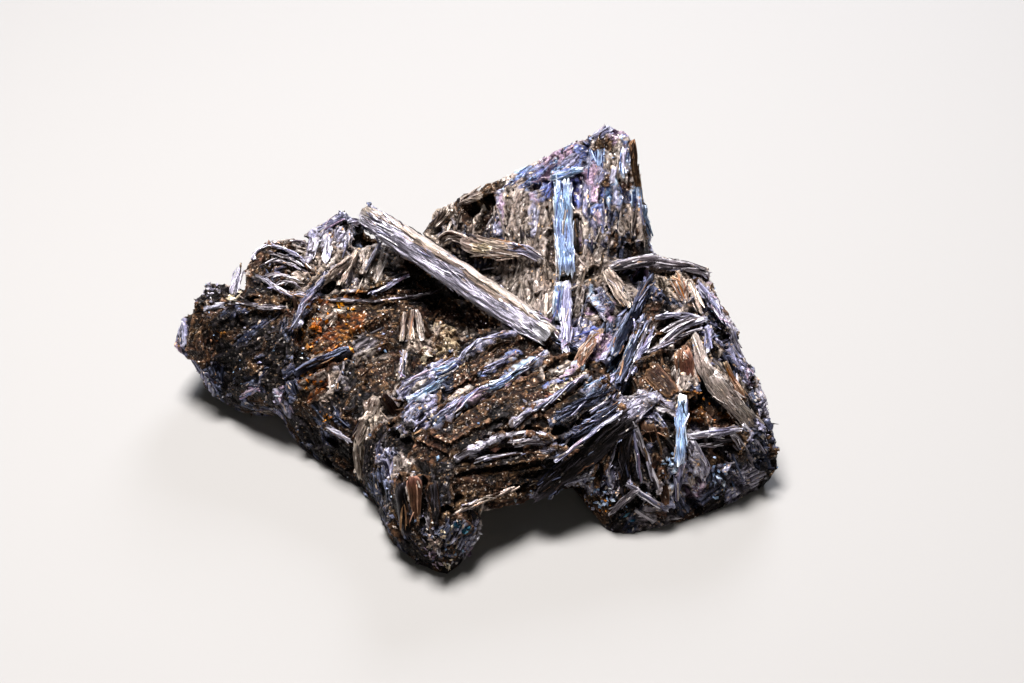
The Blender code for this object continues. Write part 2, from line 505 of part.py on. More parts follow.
def centre_laths(side, collection):
    """Parallel ribs across the middle: plates seen on their edges, all leaning one way."""
    ribs = (
        ((-13.6, -6.6), (-10.0, -4.3), (-6.5, -2.8), (-3.0, 0.3), (0.4, 1.0)),
        ((-12.4, -7.4), (-9.0, -5.3), (-6.0, -4.2), (-3.4, -1.6)),
        ((-9.5, -10.0), (-6.0, -7.5), (-1.0, -5.4), (4.3, -1.6)),
        ((-9.0, -12.2), (-5.0, -9.9), (0.0, -7.9), (4.0, -5.0)),
        ((0.0, -10.2), (2.6, -8.4), (5.4, -6.7), (9.2, -4.0)),
        ((4.4, -9.6), (8.4, -7.0), (12.0, -5.6)),
        ((-13.4, -10.4), (-11.2, -8.6), (-9.0, -7.4)),
    )
    for points in ribs:
        lay_chain(side, points, 3.0, 1.1, -32.0, 0.45, collection)
    rows = (
        ((3.0, -3.6, 0.4), (8.2, -1.4, 0.5), 1.8, 0.9, 50.0, 0.7),
        ((0.8, 0.7, 0.4), (5.6, -1.2, 0.5), 1.6, 0.9, 20.0, 0.7),
        ((6.6, -10.6, 0.4), (12.6, -7.0, 0.6), 1.9, 0.9, 50.0, 0.8),
        ((-7.0, -14.4, 0.5), (-2.0, -12.5, 0.7), 1.3, 0.6, 60.0, 0.7),
        ((-2.4, -12.2, 0.7), (4.8, -11.9, 0.5), 1.3, 0.6, 60.0, 0.8),
    )
    lay_laths(side, rows, collection)
    for step in range(4):
        near = (-7.6 + 0.4 * step, -15.8 - 1.45 * step, 0.3)
        far = (6.4 - 1.2 * step, -14.0 - 1.4 * step, 0.3)
        lath(side.on(*near), side.on(*far), 2.0, 0.8, -35.0, 0.8, side.eye, collection)


def blade_laths(side, collection):
    """The dark blade that leans over the notch, and its thinner companions."""
    rows = (
        ((3.2, -18.3, 0.8), (14.9, -9.2, 1.1), 3.8, 1.4, 6.0, 0.95),
        ((2.8, -19.2, 0.5), (9.0, -16.8, 0.6), 1.0, 0.8, 30.0, 0.8),
        ((9.4, -16.2, 0.4), (14.6, -11.0, 0.8), 1.4, 0.9, -30.0, 0.8),
        ((5.4, -13.0, 0.5), (13.4, -8.0, 0.8), 1.5, 0.8, 40.0, 0.8),
        ((14.0, -9.6, 0.9), (17.6, -6.8, 1.0), 2.4, 1.1, 0.0, 0.7),
    )
    lay_laths(side, rows, collection)


def east_laths(side, collection):
    """The eastern foot: laths that fan from the blade's head down to the table."""
    rows = (
        ((15.2, -9.8, 1.1), (18.5, -19.0, 0.7), 1.2, 0.8, 50.0, 0.8),
        ((16.6, -11.2, 0.5), (19.2, -20.4, 0.5), 2.6, 0.8, 10.0, 0.9),
        ((14.6, -10.8, 0.5), (14.0, -17.4, 0.5), 1.8, 0.9, 20.0, 0.8),
        ((13.4, -11.8, 0.4), (11.8, -18.2, 0.5), 1.7, 0.9, -20.0, 0.8),
        ((12.2, -13.2, 0.4), (10.2, -18.8, 0.4), 1.5, 0.9, 20.0, 0.8),
        ((14.3, -17.8, 0.8), (19.5, -21.0, 0.7), 1.1, 0.7, 40.0, 0.8),
        ((17.6, -9.0, 0.5), (20.4, -12.8, 0.5), 1.5, 0.8, 20.0, 0.7),
        ((21.3, -7.0, 1.1), (21.0, -15.2, 0.8), 1.6, 0.9, 10.0, 1.0),
        ((22.2, -11.9, 0.9), (28.6, -11.0, 0.9), 1.3, 0.8, 15.0, 0.8),
        ((22.4, -12.6, 0.5), (23.8, -18.4, 0.4), 1.6, 0.9, 30.0, 0.8),
        ((24.2, -12.8, 0.4), (25.4, -17.8, 0.4), 1.5, 0.9, -20.0, 0.8),
        ((29.8, -11.2, 0.6), (26.4, -16.4, 0.6), 1.3, 0.9, 20.0, 0.8),
        ((29.4, -11.6, 0.6), (31.2, -15.6, 0.5), 1.1, 0.8, 10.0, 0.8),
        ((31.6, -9.6, 0.3), (32.8, -14.4, 0.3), 1.5, 0.9, 10.0, 0.8),
        ((11.4, -18.8, 0.4), (13.0, -22.2, 0.3), 1.6, 0.9, 10.0, 0.8),
        ((13.4, -18.4, 0.4), (15.2, -22.6, 0.3), 1.6, 0.9, -20.0, 0.8),
        ((15.8, -20.4, 0.4), (19.4, -22.0, 0.3), 1.4, 0.9, 20.0, 0.7),
    )
    lay_laths(side, rows, collection)


def east_plates(side, collection):
    """The eastern lump: broad plates, a long bent blade and the pale crest of its rim."""
    rows = (
        ((20.2, 8.2, 0.5), (22.2, 4.8, 0.6), 2.3, 0.7, 15.0, 0.8),
        ((17.3, 6.7, 0.5), (19.5, 4.5, 0.6), 1.1, 0.7, 20.0, 0.8),
        ((18.0, 3.0, 0.6), (23.4, 3.1, 0.8), 1.0, 0.7, 30.0, 0.8),
        ((20.0, 0.0, 0.5), (24.6, 1.8, 0.7), 1.1, 0.7, 20.0, 0.8),
        ((24.8, 1.8, 0.7), (24.4, -1.6, 0.7), 1.2, 0.7, 0.0, 0.8),
        ((21.0, -1.0, 0.8), (22.3, -6.6, 0.9), 3.1, 0.9, 5.0, 0.9),
        ((18.2, -2.2, 0.4), (19.4, -6.6, 0.5), 2.4, 0.8, -15.0, 0.8),
        ((26.4, -0.4, 0.4), (29.4, -5.6, 0.5), 1.8, 0.8, 20.0, 0.8),
        ((15.6, -3.2, 0.4), (20.2, -0.8, 0.5), 1.7, 0.8, 35.0, 0.8),
        ((16.5, 7.2, 0.7), (11.6, -2.6, 0.8), 1.9, 1.0, 25.0, 0.8),
        ((16.2, 2.2, 0.6), (13.2, -5.0, 0.6), 1.5, 0.9, -25.0, 0.8),
        ((10.8, 1.0, 0.4), (8.0, -3.2, 0.5), 1.8, 0.9, 20.0, 0.8),
        ((10.6, 5.6, 0.6), (12.4, 3.8, 0.7), 2.2, 1.6, 0.0, 0.8),
        ((12.4, 8.6, 0.4), (14.8, 4.2, 0.5), 1.8, 0.8, 20.0, 0.8),
        ((8.9, 9.6, 0.4), (8.4, 3.0, 0.4), 1.2, 0.8, 20.0, 0.8),
    )
    lay_laths(side, rows, collection)
    rim = ((22.8, 7.6), (24.8, 5.0), (26.2, 3.0), (27.2, 1.2))
    lay_chain(side, rim, 1.4, 0.9, 10.0, 0.4, collection)
    long_blade = ((22.8, 0.0), (24.6, -4.0), (27.4, -7.6), (30.6, -11.6))
    lay_chain(side, long_blade, 2.6, 1.0, 12.0, 0.8, collection)
    lay_chain(side, ((18.5, -0.3), (21.0, 1.6), (24.3, 2.6)), 1.0, 0.7, 30.0, 0.6, collection)


def fin_laths(side, collection):
    """The rear fin: upright columns side by side, with one bright lath set in front."""
    rows = (
        ((6.3, 20.2, 0.5), (6.6, 8.3, 0.7), 2.5, 1.0, 5.0, 1.0),
        ((5.9, 7.4, 0.6), (5.8, 2.8, 0.7), 1.4, 0.9, -10.0, 0.9),
        ((6.8, 6.6, 0.3), (6.9, -0.8, 0.6), 1.3, 0.9, 20.0, 0.8),
        ((5.0, 20.7, 0.5), (8.8, 21.5, 0.6), 1.0, 0.8, 20.0, 0.8),
        ((9.8, 24.4, 0.2), (9.9, 12.6, 0.3), 1.7, 0.9, 15.0, 0.8),
        ((11.4, 25.8, 0.3), (11.3, 12.0, 0.2), 1.8, 1.0, -15.0, 0.8),
        ((12.9, 25.8, 0.3), (12.9, 11.4, 0.3), 1.7, 0.9, 20.0, 0.8),
        ((14.3, 25.2, 0.3), (14.4, 12.0, 0.3), 1.5, 1.0, 0.0, 0.9),
        ((15.3, 21.4, 0.2), (15.9, 12.4, 0.3), 1.5, 0.9, 20.0, 0.8),
        ((4.2, 20.6, 0.2), (4.4, 9.0, 0.2), 1.4, 0.8, 20.0, 0.8),
        ((2.8, 20.2, 0.2), (3.2, 6.0, 0.3), 1.5, 0.8, -15.0, 0.8),
        ((1.4, 19.6, 0.2), (1.8, 7.6, 0.2), 1.4, 0.8, 15.0, 0.8),
        ((0.2, 19.0, 0.3), (0.4, 12.6, 0.2), 1.3, 0.8, 25.0, 0.8),
        ((-1.6, 18.6, 0.3), (-0.8, 13.4, 0.2), 1.4, 0.8, 10.0, 0.8),
        ((-4.2, 18.0, 0.4), (-1.0, 18.8, 0.4), 1.1, 0.6, 40.0, 0.8),
        ((-9.6, 15.9, 0.4), (-8.2, 13.6, 0.6), 1.3, 0.5, 50.0, 0.8),
        ((-8.6, 16.3, 0.4), (-7.0, 14.0, 0.6), 1.3, 0.5, 50.0, 0.8),
        ((-7.4, 16.6, 0.4), (-5.8, 14.2, 0.6), 1.3, 0.5, 50.0, 0.8),
    )
    lay_laths(side, rows, collection)
    flake = ((-9.0, 12.4), (-7.4, 13.0), (-5.4, 12.5))
    lay_chain(side, flake, 1.6, 0.6, 30.0, 1.1, collection)
    lay_chain(side, ((-5.8, 12.4), (-2.8, 11.6), (0.6, 11.4)), 2.4, 0.7, 8.0, 1.4, collection)
    lay_chain(side, ((0.2, 11.6), (1.9, 11.2), (3.3, 10.4)), 1.4, 0.6, 25.0, 1.0, collection)


def lay_loose(side, across, up, half, lean, collection):
    """One loose lath about (across, up), or none where it would leave the mass."""
    step = (half * math.cos(lean), half * math.sin(lean))
    lift = random.uniform(0.1, 0.4)
    width = random.uniform(0.28, 0.42) * half * 2
    roll = random.uniform(-26.0, 26.0)
    near, near_ray = side.strike(across - step[0], up - step[1])
    far, far_ray = side.strike(across + step[0], up + step[1])
    above = side.strike(across + step[0], up + step[1] + RIM_MARGIN)[0]
    if near is None or far is None or above is None:
        return False
    if (far - near).length > MOST_STRETCH * 2 * half:
        return False
    near -= lift * near_ray
    far -= lift * far_ray
    lath(near, far, width, 0.34 * width, roll, 0.75, side.eye, collection)
    return True


def lay_sheaf(side, corner, reach, run, count, sizes, collection):
    """Loose parallel laths scattered over a stretch of a side.

    corner is the (across, up) of the stretch's lower left, reach its size, and run the
    direction of the laths in degrees from level. sizes are the least and most length.
    """
    laid = 0
    for _ in range(MOST_TRIES * count):
        across = corner[0] + random.uniform(0.0, reach[0])
        up = corner[1] + random.uniform(0.0, reach[1])
        lean = math.radians(run + random.uniform(-16.0, 16.0))
        laid += lay_loose(side, across, up, random.uniform(*sizes) / 2, lean, collection)
        if laid == count:
            return


def hidden_laths(surface, collection):
    """The sides that face away: the fin's back, the northern wall and both ends."""
    back = turned_side(surface, 180.0, 12.0)
    lay_sheaf(back, (-21.0, -4.0), (22.0, 15.0), 86.0, 8, (9.0, 15.0), collection)
    lay_sheaf(back, (-22.0, -13.0), (26.0, 7.0), 78.0, 5, (7.0, 11.0), collection)
    lay_sheaf(back, (3.0, -12.0), (26.0, 12.0), 68.0, 7, (6.0, 11.0), collection)
    west = turned_side(surface, -90.0, 15.0)
    lay_sheaf(west, (-16.0, -8.0), (12.0, 6.0), 30.0, 2, (5.0, 8.0), collection)
    north_west = turned_side(surface, -135.0, 15.0)
    lay_sheaf(north_west, (-6.0, -9.0), (18.0, 8.0), 55.0, 3, (5.0, 9.0), collection)
    east = turned_side(surface, 90.0, 15.0)
    lay_sheaf(east, (-6.0, -11.0), (17.0, 7.0), 62.0, 6, (6.0, 10.0), collection)


# Hollows, as (across, up), the mouth's width and height, the depth and the lean in degrees.
HOLLOWS = (
    ((14.6, 8.6), (5.0, 1.4), 3.0, 2.0),
    ((-19.4, 12.2), (2.0, 1.3), 2.2, 20.0),
    ((-12.4, 9.2), (5.0, 1.6), 2.2, -32.0),
    ((-6.8, 5.9), (5.4, 1.5), 2.0, -33.0),
    ((-5.0, 16.0), (1.1, 2.2), 2.0, 10.0),
    ((-8.2, 15.0), (1.2, 2.0), 1.8, 35.0),
    ((7.9, 13.4), (0.8, 3.4), 1.6, 0.0),
    ((27.3, -14.0), (2.6, 2.6), 2.8, 0.0),
    ((31.2, -15.0), (1.8, 1.5), 1.8, 0.0),
    ((26.0, -8.0), (5.6, 1.6), 1.6, -50.0),
    ((0.2, -12.8), (5.6, 0.8), 2.0, 4.0),
    ((17.4, -12.0), (2.6, 1.1), 2.0, -25.0),
    ((-13.2, -12.4), (2.2, 1.2), 1.8, -20.0),
    ((-22.6, -12.4), (3.0, 1.4), 1.8, -25.0),
)


def hollow(side, place, mouth, depth, lean, collection):
    """A pit that narrows inward along the line of sight."""
    middle = side.on(*place)
    inward = (middle - side.eye).normalized()
    turned = Matrix((side.right, side.upward, -inward)).transposed().to_4x4()
    made = bmesh.new()
    bmesh.ops.create_cone(
        made, cap_ends=True, segments=PIT_SIDES, radius1=0.22, radius2=0.62, depth=2.0
    )
    made.transform(Matrix.Diagonal((mouth[0], mouth[1], depth, 1.0)))
    made.transform(Matrix.Rotation(math.radians(lean), 4, "Z"))
    made.transform(Matrix.Translation(middle) @ turned)
    return add_object("hollow", made, collection)


def table_cutter(collection):
    """The block under the table's plane, which cuts the specimen's flat rest."""
    made = bmesh.new()
    bmesh.ops.create_cube(made, size=FLOOR_SIZE)
    made.transform(Matrix.Translation((0.0, 0.0, -FLOOR_SIZE / 2)))
    return add_object("table_plane", made, collection)


def cut_away(obj, cutters):
    cut = obj.modifiers.new(cutters.name, "BOOLEAN")
    cut.operation = "DIFFERENCE"
    cut.operand_type = "COLLECTION"
    cut.collection = cutters


def shells_of(made):
    """The faces of a mesh, sorted into its separate closed shells."""
    shells = []
    waiting = set(made.faces)
    while waiting:
        shell = {waiting.pop()}
        edge_of_shell = list(shell)
        while edge_of_shell:
            face = edge_of_shell.pop()
            for edge in face.edges:
                for other in edge.link_faces:
                    if other in waiting:
                        waiting.remove(other)
                        shell.add(other)
                        edge_of_shell.append(other)
        shells.append(shell)
    return shells


def fill_voids(obj):
    """Applies the joins and cuts, and keeps the outer shell: the mass is solid inside."""
    bpy.context.view_layer.update()
    formed = obj.evaluated_get(bpy.context.evaluated_depsgraph_get())
    made = bmesh.new()
    made.from_mesh(formed.to_mesh())
    formed.to_mesh_clear()
    shells = sorted(shells_of(made), key=len)
    for shell in shells[:-1]:
        bmesh.ops.delete(made, geom=list(shell), context="FACES")
    obj.modifiers.clear()
    made.to_mesh(obj.data)
    made.free()


def build():
    random.seed(SEED)
    clear_scene()
    whole = new_collection(NAME)
    pieces = new_collection("grown_pieces")
    cutters = new_collection("hollows_and_table")
    for name, corners in lumps().items():
        block(name, corners, pieces)
    specimen = join_all(NAME, pieces, whole)
    surface = surface_of(specimen)
    front = display_side(surface)
    for near, far, width, thickness, roll, taper in FREE_LATHS:
        lath(seen(*near), seen(*far), width, thickness, roll, taper, EYE, pieces, STOUT_SIDES)
    for lay in (
        west_laths, crest_laths, amber_laths, spur_laths, valley_laths,
        centre_laths, blade_laths, east_laths, east_plates, fin_laths,
    ):
        lay(front, pieces)
    hidden_laths(surface, pieces)
    for place, mouth, depth, lean in HOLLOWS:
        hollow(front, place, mouth, depth, lean, cutters)
    table_cutter(cutters)
    cut_away(specimen, cutters)
    fill_voids(specimen)
    for helpers in (pieces, cutters):
        helpers.hide_render = True
        for obj in helpers.objects:
            obj.hide_render = True
            obj.display_type = "WIRE"
    specimen.data.materials.append(crystal_material())
    return specimen


build()
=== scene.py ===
# %% [markdown]
# # A covellite specimen
#
# Covellite is a copper sulphide that grows as thin six-sided plates. In a mass like this one the
# plates stand packed like pages, and most of them are seen on their edges, so the eye reads them as
# laths and blades: dark indigo to brown-grey, with pale edges and a purple and blue tarnish. The pale
# edges are partly worn and partly a painted highlight.
#
# The CAD model gives one closed solid with the main lumps, laths and hollows. This script makes its
# surface: a roughened copy of the solid, the large blades, and the thousands of small splinters that
# cover it. Everything is one grown mass, so all of it rides on the same body.

# %% Load the frame
import math

import bmesh
import bpy
import numpy as np
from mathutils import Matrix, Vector
from mathutils.bvhtree import BVHTree


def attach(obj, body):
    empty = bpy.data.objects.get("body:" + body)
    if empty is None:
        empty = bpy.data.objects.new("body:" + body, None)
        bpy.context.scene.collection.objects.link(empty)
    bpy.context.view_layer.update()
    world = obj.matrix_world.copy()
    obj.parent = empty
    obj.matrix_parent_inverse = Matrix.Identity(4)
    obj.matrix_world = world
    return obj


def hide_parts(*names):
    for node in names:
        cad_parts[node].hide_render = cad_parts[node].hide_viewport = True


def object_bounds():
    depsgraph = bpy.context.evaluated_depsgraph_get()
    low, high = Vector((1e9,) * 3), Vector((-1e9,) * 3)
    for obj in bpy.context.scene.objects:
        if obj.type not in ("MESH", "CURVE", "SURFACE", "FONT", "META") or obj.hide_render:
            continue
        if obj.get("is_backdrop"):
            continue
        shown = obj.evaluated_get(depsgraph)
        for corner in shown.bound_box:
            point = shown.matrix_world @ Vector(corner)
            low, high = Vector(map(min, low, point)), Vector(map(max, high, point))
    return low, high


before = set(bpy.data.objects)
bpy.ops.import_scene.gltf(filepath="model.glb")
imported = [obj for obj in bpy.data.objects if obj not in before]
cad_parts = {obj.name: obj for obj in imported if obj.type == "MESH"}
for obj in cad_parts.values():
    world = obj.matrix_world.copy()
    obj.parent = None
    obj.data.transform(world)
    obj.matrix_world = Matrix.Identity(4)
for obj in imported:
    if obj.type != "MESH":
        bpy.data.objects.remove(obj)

CAD_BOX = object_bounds()
NODE = "covellite_specimen"
MM = 0.001
SEED = 7
rng = np.random.default_rng(SEED)
print("CAD box, mm:", [round(float(v) / MM, 1) for corner in CAD_BOX for v in corner])

# %% [markdown]
# ## Where things are
#
# The specimen has no straight edges to measure from. Blades could be set down by x, y and z, but on a
# rough surface most would float or sink. So each is placed the way a person would point at it: so far
# across and so far up, in millimetres, as it looks from the display side. The ray through that place
# is cast at the CAD solid, and where it lands is where the blade sits.

# %% The display side
EYE_TILT = math.radians(40.0)
EYE_DISTANCE = 231.0
VIEW_WIDTH = 128.0
SENSOR_WIDTH = 36.0
EYE_TARGET = np.array([5.4, 0.0, 15.0])
SIGHT = np.array([0.0, math.cos(EYE_TILT), -math.sin(EYE_TILT)])
RIGHT = np.array([1.0, 0.0, 0.0])
UPWARD = np.array([0.0, math.sin(EYE_TILT), math.cos(EYE_TILT)])
EYE = EYE_TARGET - EYE_DISTANCE * SIGHT


def merged_copy(obj):
    """A mesh like the object's with its loose triangles joined where their corners meet."""
    made = bmesh.new()
    made.from_mesh(obj.data)
    bmesh.ops.remove_doubles(made, verts=made.verts, dist=1e-6)
    mesh = bpy.data.meshes.new("merged")
    made.to_mesh(mesh)
    made.free()
    return mesh


solid = merged_copy(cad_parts[NODE])
finder = bmesh.new()
finder.from_mesh(solid)
solid_tree = BVHTree.FromBMesh(finder)
finder.free()


def strike(across, up, lift=0.0):
    """The place on the solid that is seen at (across, up), raised by lift toward the eye, in mm.

    A sight line that just misses is drawn in toward the middle until it meets the solid.
    """
    for share in np.linspace(1.0, 0.8, 41):
        ray = EYE_DISTANCE * SIGHT + share * (across * RIGHT + up * UPWARD)
        ray = ray / np.linalg.norm(ray)
        found = solid_tree.ray_cast(Vector(EYE * MM), Vector(ray))[0]
        if found is not None:
            return np.array(found) / MM - lift * ray
    raise ValueError(f"no crystal is seen near {across}, {up}")


print("the solid has", len(solid.vertices), "corners once merged")

# %% [markdown]
# ## Camera, table and light
#
# A mineral dealer lights dark metallic blades from above with a large soft lamp, so that each plate
# that faces up flashes and the gaps stay black. A weak lamp in front keeps the steep faces readable.

# %% Camera, floor and lamps
FLOOR_HALF = 1.6


def hex_colour(code):
    """Linear RGB from an sRGB hex value: each part is undone from its display curve."""
    parts = np.array([int(code[i:i + 2], 16) for i in (1, 3, 5)]) / 255.0
    return np.where(parts <= 0.04045, parts / 12.92, ((parts + 0.055) / 1.055) ** 2.4)


def aimed(obj, place, target):
    """Puts an object at a place, with its -Z axis toward the target."""
    obj.location = Vector(place)
    obj.rotation_euler = (Vector(target) - Vector(place)).to_track_quat("-Z", "Y").to_euler()
    bpy.context.scene.collection.objects.link(obj)
    return obj


lens = bpy.data.cameras.new("camera")
lens.sensor_width = SENSOR_WIDTH
lens.lens = SENSOR_WIDTH * EYE_DISTANCE / VIEW_WIDTH
lens.clip_start = 0.01
camera = aimed(bpy.data.objects.new("camera", lens), EYE * MM, EYE_TARGET * MM)
bpy.context.scene.camera = camera

floor_mesh = bpy.data.meshes.new("floor")
half = FLOOR_HALF
floor_mesh.from_pydata(
    [(-half, -half, 0.0), (half, -half, 0.0), (half, half, 0.0), (-half, half, 0.0)], [], [(0, 1, 2, 3)]
)
floor = bpy.data.objects.new("floor", floor_mesh)
bpy.context.scene.collection.objects.link(floor)
paper = bpy.data.materials.new("matt paper")
paper.use_nodes = True
paper_shader = paper.node_tree.nodes["Principled BSDF"]
paper_shader.inputs["Base Color"].default_value = (*hex_colour("#8f8e8c"), 1.0)
paper_shader.inputs["Roughness"].default_value = 0.9
floor_mesh.materials.append(paper)
floor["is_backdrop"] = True


def softbox(name, place, size, watts, colour):
    """A square lamp of this size in metres, aimed at the specimen."""
    lamp = bpy.data.lights.new(name, "AREA")
    lamp.size = size
    lamp.energy = watts
    lamp.color = hex_colour(colour)
    return aimed(bpy.data.objects.new(name, lamp), place, (0.004, 0.0, 0.012))


softbox("overhead softbox", (-0.05, 0.02, 0.42), 0.13, 5.2, "#fffbfa")
softbox("back softbox", (0.10, 0.36, 0.26), 0.16, 1.6, "#eef2ff")
softbox("front fill", (0.10, -0.55, 0.34), 0.30, 0.25, "#fff6ea")
world = bpy.data.worlds.new("studio")
world.use_nodes = True
world.node_tree.nodes["Background"].inputs["Color"].default_value = (*hex_colour("#d9dde2"), 1.0)
world.node_tree.nodes["Background"].inputs["Strength"].default_value = 0.06
bpy.context.scene.world = world
bpy.context.scene.view_settings.view_transform = "Standard"
print("the lens is", round(lens.lens, 1), "mm long")

# %% [markdown]
# ## Noise worked out with arrays
#
# Broken crystal is irregular at every size. One smooth noise, stretched along a blade's length, gives
# grooves and fibres. The same noise on a broken end gives splinters.

# %% Smooth noise
def scrambled(cells, seed):
    """A fixed random number from 0 to 1 for each whole-number cell, by mixing its three numbers."""
    x, y, z = (cells[..., i].astype(np.uint32) for i in range(3))
    mixed = x * np.uint32(374761393) + y * np.uint32(668265263) + z * np.uint32(2246822519)
    mixed = mixed + np.uint32(seed * 97 + 13)
    mixed = (mixed ^ (mixed >> np.uint32(13))) * np.uint32(1274126177)
    mixed = mixed ^ (mixed >> np.uint32(16))
    return (mixed & np.uint32(0xFFFFFF)) / float(0xFFFFFF)


def noise(points, seed=0):
    """Smooth noise from -1 to 1: the random numbers of the eight cells round a point, blended."""
    cells = np.floor(points).astype(np.int64)
    part = points - cells
    part = part * part * (3.0 - 2.0 * part)
    total = np.zeros(points.shape[:-1])
    for corner in np.ndindex(2, 2, 2):
        share = np.prod(np.where(corner, part, 1.0 - part), axis=-1)
        total += share * scrambled(cells + np.array(corner), seed)
    return 2.0 * total - 1.0


print("noise of ten places:", noise(np.arange(30).reshape(10, 3) * 0.37).round(2))

# %% [markdown]
# ## Sheaves
#
# The blades grew in sheaves. In each, they run one way and share a finish. A sheaf is named by where
# its middle is seen, how far it reaches, which way its blades run (in degrees from level,
# anticlockwise), how long the small ones are, and what they look like. Weights could be painted on
# the mesh instead, but rows are easy to change, and any place can ask which sheaf it is in.

# %% Finishes
def table(text):
    """The rows of a table: one to a line, where a part that starts like a number is one."""
    return [
        [float(part) if part[0] in "-0123456789" else part for part in line.split()]
        for line in text.strip().splitlines()
    ]


# Each row: the name; the colours of the shadowed body, the lit body and the edge; how steeply the
# plates step; how far they are felted rather than bladed, as the brown weathered ground is a mat of
# grains too small to have edges of their own; and the mix. The shadowed and lit bodies are one colour
# in painted shade and in painted light, and the edge colour is partly wear and partly a painted
# highlight. No sheaf is all one finish: each plate in it draws one of the mix at random.
FINISHES = table("""
    dark #020101 #0a0807 #413d42  1 0.75  dark dark umber dark slate dark
    slate #05060b #222534 #969db8  1.4 0.2  slate slate dark slate lavender brown
    brown #070403 #2f2019 #967862  0.5 0.9  brown brown brown brown dark dust
    umber #060302 #271a13 #80644e  0.5 0.95  umber umber brown umber umber dark
    cream #6b5a45 #e8dac0 #fffaee  1 0  cream cream crust cream crust cream
    pale #7a7590 #dcd8ec #ffffff  1 0  pale pale silver pale lavender silver
    dust #1f1917 #a2958d #e8dfda  0.3 0.5  dust dust dust dust khaki dust
    khaki #1b1613 #8d7e74 #dccfc4  0.7 0.6  khaki khaki dust brown ash khaki
    amber #0d0603 #4c2a1b #bb7f50  0.6 0.9  amber amber brown amber brown khaki
    ember #44200f #9e6232 #eeb27a  1 0  ember amber ember amber ember ember
    orange #24150f #8c6a58 #ecd0b8  1 0  orange dust amber dust khaki brown
    crust #211913 #76634f #dccbb0  0.8 0.9  crust umber brown crust khaki umber
    ash #100e10 #5f585d #dcd7dd  1.3 0.3  ash ash brown dark silver ash
    silver #22202a #9a96a6 #f6f3fb  1 0  silver ash silver silver brown lavender
    lavender #161622 #8988a3 #e4e4f4  0.6 0.3  lavender lavender dust lavender slate rose
    blue #1e2644 #9bb4d6 #f2f8fe  0.45 0  blue iris lavender blue slate dust
    teal #060f16 #19384a #5d8494  1 0  teal blue teal slate teal iris
    bark #2a2831 #c0bccb #f8f7fc  1 0  bark bark silver bark lavender ash
    iris #131428 #6d77b0 #c8dafa  0.45 0.4  iris lavender iris blue rose dust
    rose #281e2a #937e93 #ead8e4  0.4 0.6  rose iris lavender dust iris slate
    russet #120a07 #5e4135 #a98672  0.4 0  russet russet brown russet khaki russet
""")
FINISH_NAMES = [row[0] for row in FINISHES]
FINISH_TABLE = np.array([[hex_colour(code) for code in row[1:4]] for row in FINISHES])
RUGGED, FELTED = np.array([row[4:6] for row in FINISHES]).T
MIX_TABLE = np.array([[FINISH_NAMES.index(name) for name in row[6:]] for row in FINISHES])
MIX_SIZE = MIX_TABLE.shape[1]
print(len(FINISHES), "finishes, each a mix of", MIX_SIZE)
